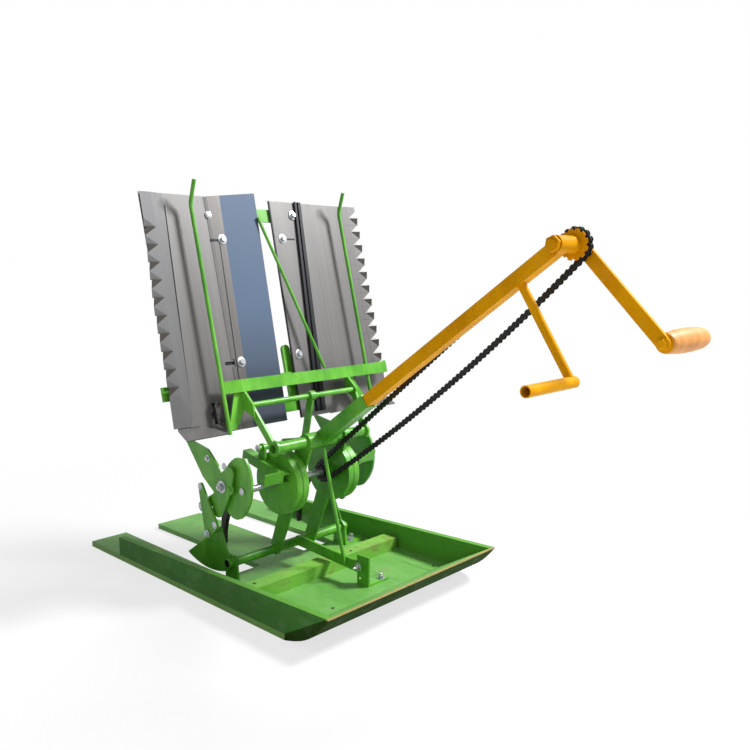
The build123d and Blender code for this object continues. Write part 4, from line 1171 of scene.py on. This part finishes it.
def bent_nose():
    foot, crest = Vector((0, deck_low.y, 0)), Vector((0, nose_low.y, nose_high.z))
    crest_y = max(v.co.y for v in nodes["nose_board"].data.vertices if v.co.z > crest.z - 1e-4)
    crest_rear = Vector((0, crest_y, crest.z))
    foot_rear = Vector((0, deck_low.y, deck_high.z))
    deselect()
    bpy.ops.mesh.primitive_plane_add(size=2.0)
    piece = bpy.context.active_object
    piece.name = "nose_bent"
    corners = {(-1, -1): crest, (-1, 1): crest_rear, (1, 1): foot_rear, (1, -1): foot}
    for vertex in piece.data.vertices:
        vertex.co = corners[(round(vertex.co.x), round(vertex.co.y))]
    bpy.ops.object.mode_set(mode="EDIT")
    shell = bmesh.from_edit_mesh(piece.data)
    outer = [e for e in shell.edges if {tuple(v.co) for v in e.verts} == {tuple(crest), tuple(foot)}]
    bmesh.ops.subdivide_edges(shell, edges=outer, cuts=NOSE_CUTS)
    run = crest - foot
    outward = Vector((0, -run.z, run.y)).normalized()
    for vertex in shell.verts:
        share = (vertex.co - foot).dot(run) / run.length_squared
        if 0 < share < 1 and abs((vertex.co - foot).dot(outward)) < TOUCH:
            vertex.co += outward * NOSE_BULGE * math.sin(math.pi * share)
    bmesh.update_edit_mesh(piece.data)
    bpy.ops.mesh.select_all(action="SELECT")
    bpy.ops.transform.translate(value=(-deck_high.x, 0, 0))
    bpy.ops.mesh.extrude_region_move(TRANSFORM_OT_translate={"value": (2 * deck_high.x, 0, 0)})
    bpy.ops.mesh.select_all(action="SELECT")
    bpy.ops.mesh.normals_make_consistent(inside=False)
    bpy.ops.object.mode_set(mode="OBJECT")
    return piece


nose = bent_nose()
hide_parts("nose_board")
hand_over(nose, "root", nose_shaded_green)
nose.data.materials.append(nose_inside)
for face in nose.data.polygons:
    if face.normal.z > 0.5 and face.normal.y > 0.2:
        face.material_index = 1
print("nose board:", len(nose.data.polygons), "faces")


# %% [markdown]
# ## Drum rims
# The two feed drums are dished: a rim stands in from each plate towards the middle of the machine, and a boss
# fills its centre. A turned disc is inset by the rim's wall, and the inner face is pushed back down again.


# %% Drum rims
RIM_DEPTH, RIM_WALL = 0.020, 0.004
BOSS_RINGS, BOSS_X = [(0.0180, 0.0), (0.0180, 0.0200), (0.0160, 0.0220)], 0.084


def drum_rim(side, out):
    """Dished band round a drum, from the drum's plate towards the middle of the machine."""
    low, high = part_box(f"feed_drum_{side}")
    radius = (high.z - low.z) / 2
    face_x = high.x if out < 0 else low.x
    rim = turned("rim", 72, [(radius, 0.0), (radius, RIM_DEPTH)])
    bpy.ops.object.mode_set(mode="EDIT")
    bpy.ops.mesh.select_all(action="DESELECT")
    bpy.ops.object.mode_set(mode="OBJECT")
    for face in rim.data.polygons:
        face.select = abs(face.normal.z) > 0.9
    bpy.ops.object.mode_set(mode="EDIT")
    bpy.ops.mesh.inset(thickness=RIM_WALL)
    bpy.ops.object.mode_set(mode="OBJECT")
    for face in rim.data.polygons:
        face.select = face.normal.z > 0.9 and face.area > 0.01
    bpy.ops.object.mode_set(mode="EDIT")
    bpy.ops.mesh.extrude_region_move(TRANSFORM_OT_translate={"value": (0, 0, RIM_WALL - RIM_DEPTH)})
    bpy.ops.object.mode_set(mode="OBJECT")
    rim.data.transform(facing((face_x, shaft_y, shaft_z), (-out, 0, 0)))
    return rim


for side, out in OUT.items():
    boss = turned("boss", 32, BOSS_RINGS)
    boss.data.transform(facing((out * BOSS_X, shaft_y, shaft_z), (-out, 0, 0)))
    rim = joined(f"drum_rim_{side}", [drum_rim(side, out), boss])
    hand_over(rim, "drive_shaft", frame_green)
print("drum rims stand", RIM_DEPTH, "m in from their plates")

# %% [markdown]
# ## Screws in the wood
# The boards are held by sunk screws, painted over and weathered to dark dots. A shallow turned disc with a
# dished middle, a hair above the wood, is enough at this size.

# %% Sunk screws
screw = turned("screw", 14, [(0.0042, -0.0004), (0.0042, 0.0004), (0.0034, 0.0007), (0.0022, 0.0002)])
patterns.append(screw)
_, batten_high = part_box("batten")
_, batten_y, _ = middle("batten")
SKI_SCREW_X = 0.246
screw_places = []
for x in (-0.225, -0.125, 0.225):
    screw_places.append((x, deck_low[1] + 0.014 + 0.004 * math.sin(x * 40.0), deck_high[2]))
for x in (-0.205, 0.095):
    screw_places.append((x, batten_y + 0.006 * math.sin(x * 55.0), batten_high[2]))
for out in OUT.values():
    for y in (-0.10, 0.06, 0.20):
        screw_places.append((out * SKI_SCREW_X, y, deck_high[2]))
screws = joined("sunk_screws", [copied(screw, Matrix.Translation(place)) for place in screw_places])
hand_over(screws, "root", claw_black)
print("screws:", len(screw_places))

# %% [markdown]
# ## Floor and light
# The machine stands on a plain white floor. What the camera sees of it is white by itself, and so is what
# gloss and glass show of it, but near the machine it keeps a share of real lighting, so that it takes the
# soft shadow.

# %% Floor
deselect()
bpy.ops.mesh.primitive_plane_add(size=30.0, location=(0.0, 0.0, -0.0005))
floor = bpy.context.active_object
floor.name = "floor"
FLOOR_WHITE = 0.72                   # share of plain white near the machine, where the shadow falls
SHADOW_REACH = (0.5, 1.5)            # metres from the middle over which that share grows to one
floor_finish = Finish("floor_white")
floor_finish.set(base_color=(0.88, 0.88, 0.88), roughness=0.9)
seen, mirrored, through = (
    floor_finish.node("LightPath", {}, {}, f"Is {ray} Ray") for ray in ("Camera", "Glossy", "Transmission")
)
from_centre = floor_finish.node("VectorMath", {"operation": "LENGTH"}, {0: floor_finish.place}, 1)
far_off = floor_finish.between(from_centre, *SHADOW_REACH)
whiteness = (seen + mirrored + through).clamp() * (far_off * (1.0 - FLOOR_WHITE) + FLOOR_WHITE)
plain_white = floor_finish.node("Emission", {}, {"Color": (1.0, 1.0, 1.0), "Strength": 1.0})
blend = floor_finish.node("MixShader", {}, {0: whiteness, 2: plain_white})
floor_tree = floor_finish.tree
floor_tree.links.new(floor_finish.shader.outputs["BSDF"], blend.socket.node.inputs[1])
floor_tree.links.new(blend.socket, floor_tree.nodes["Material Output"].inputs["Surface"])
coat(floor, floor_finish.material)
print("floor is", FLOOR_WHITE, "plain white near the machine")

# %% [markdown]
# One broad key lamp stands high on the right and to the front, as the sun on a hazy day. A weak fill lamp
# opens the shadows on the left, and an even pale sky does the rest. Seen directly, in gloss or through glass,
# the sky is plain white, so a Light Path node chooses between that backdrop and the dimmer sky that lights
# things.


# %% Lamps and sky
def soft_lamp(name, place, target, size, watts):
    data = bpy.data.lights.new(name, "AREA")
    data.shape = "DISK"
    data.size = size
    data.energy = watts
    lamp = bpy.data.objects.new(name, data)
    lamp.location = place
    lamp.rotation_euler = (Vector(target) - Vector(place)).to_track_quat("-Z", "Y").to_euler()
    bpy.context.scene.collection.objects.link(lamp)


MACHINE_MIDDLE = (0.0, -0.2, 0.45)
SKY_STRENGTH = 0.29
WHITE = (1.0, 1.0, 1.0, 1.0)
soft_lamp("key_lamp", (2.3, -1.9, 3.3), MACHINE_MIDDLE, 1.0, 285.0)
soft_lamp("fill_lamp", (-2.6, -1.6, 1.6), MACHINE_MIDDLE, 2.4, 11.0)

world = bpy.data.worlds.new("pale_sky")
bpy.context.scene.world = world
world.use_nodes = True
tree = world.node_tree
sky = tree.nodes["Background"]
sky.inputs["Color"].default_value = WHITE
sky.inputs["Strength"].default_value = SKY_STRENGTH
backdrop = tree.nodes.new("ShaderNodeBackground")
backdrop.inputs["Color"].default_value = WHITE
backdrop.inputs["Strength"].default_value = 1.0
rays = tree.nodes.new("ShaderNodeLightPath")
either = rays.outputs["Is Camera Ray"]
for ray in ("Is Glossy Ray", "Is Transmission Ray"):
    larger = tree.nodes.new("ShaderNodeMath")
    larger.operation = "MAXIMUM"
    tree.links.new(either, larger.inputs[0])
    tree.links.new(rays.outputs[ray], larger.inputs[1])
    either = larger.outputs[0]
choice = tree.nodes.new("ShaderNodeMixShader")
tree.links.new(either, choice.inputs["Fac"])
tree.links.new(sky.outputs[0], choice.inputs[1])
tree.links.new(backdrop.outputs[0], choice.inputs[2])
tree.links.new(choice.outputs[0], tree.nodes["World Output"].inputs["Surface"])
print("lamps:", [lamp.name for lamp in bpy.data.lights], "sky:", SKY_STRENGTH)

# %% [markdown]
# The patterns at the origin have served, so they go.

# %% Finish
for pattern in patterns:
    bpy.data.objects.remove(pattern, do_unlink=True)
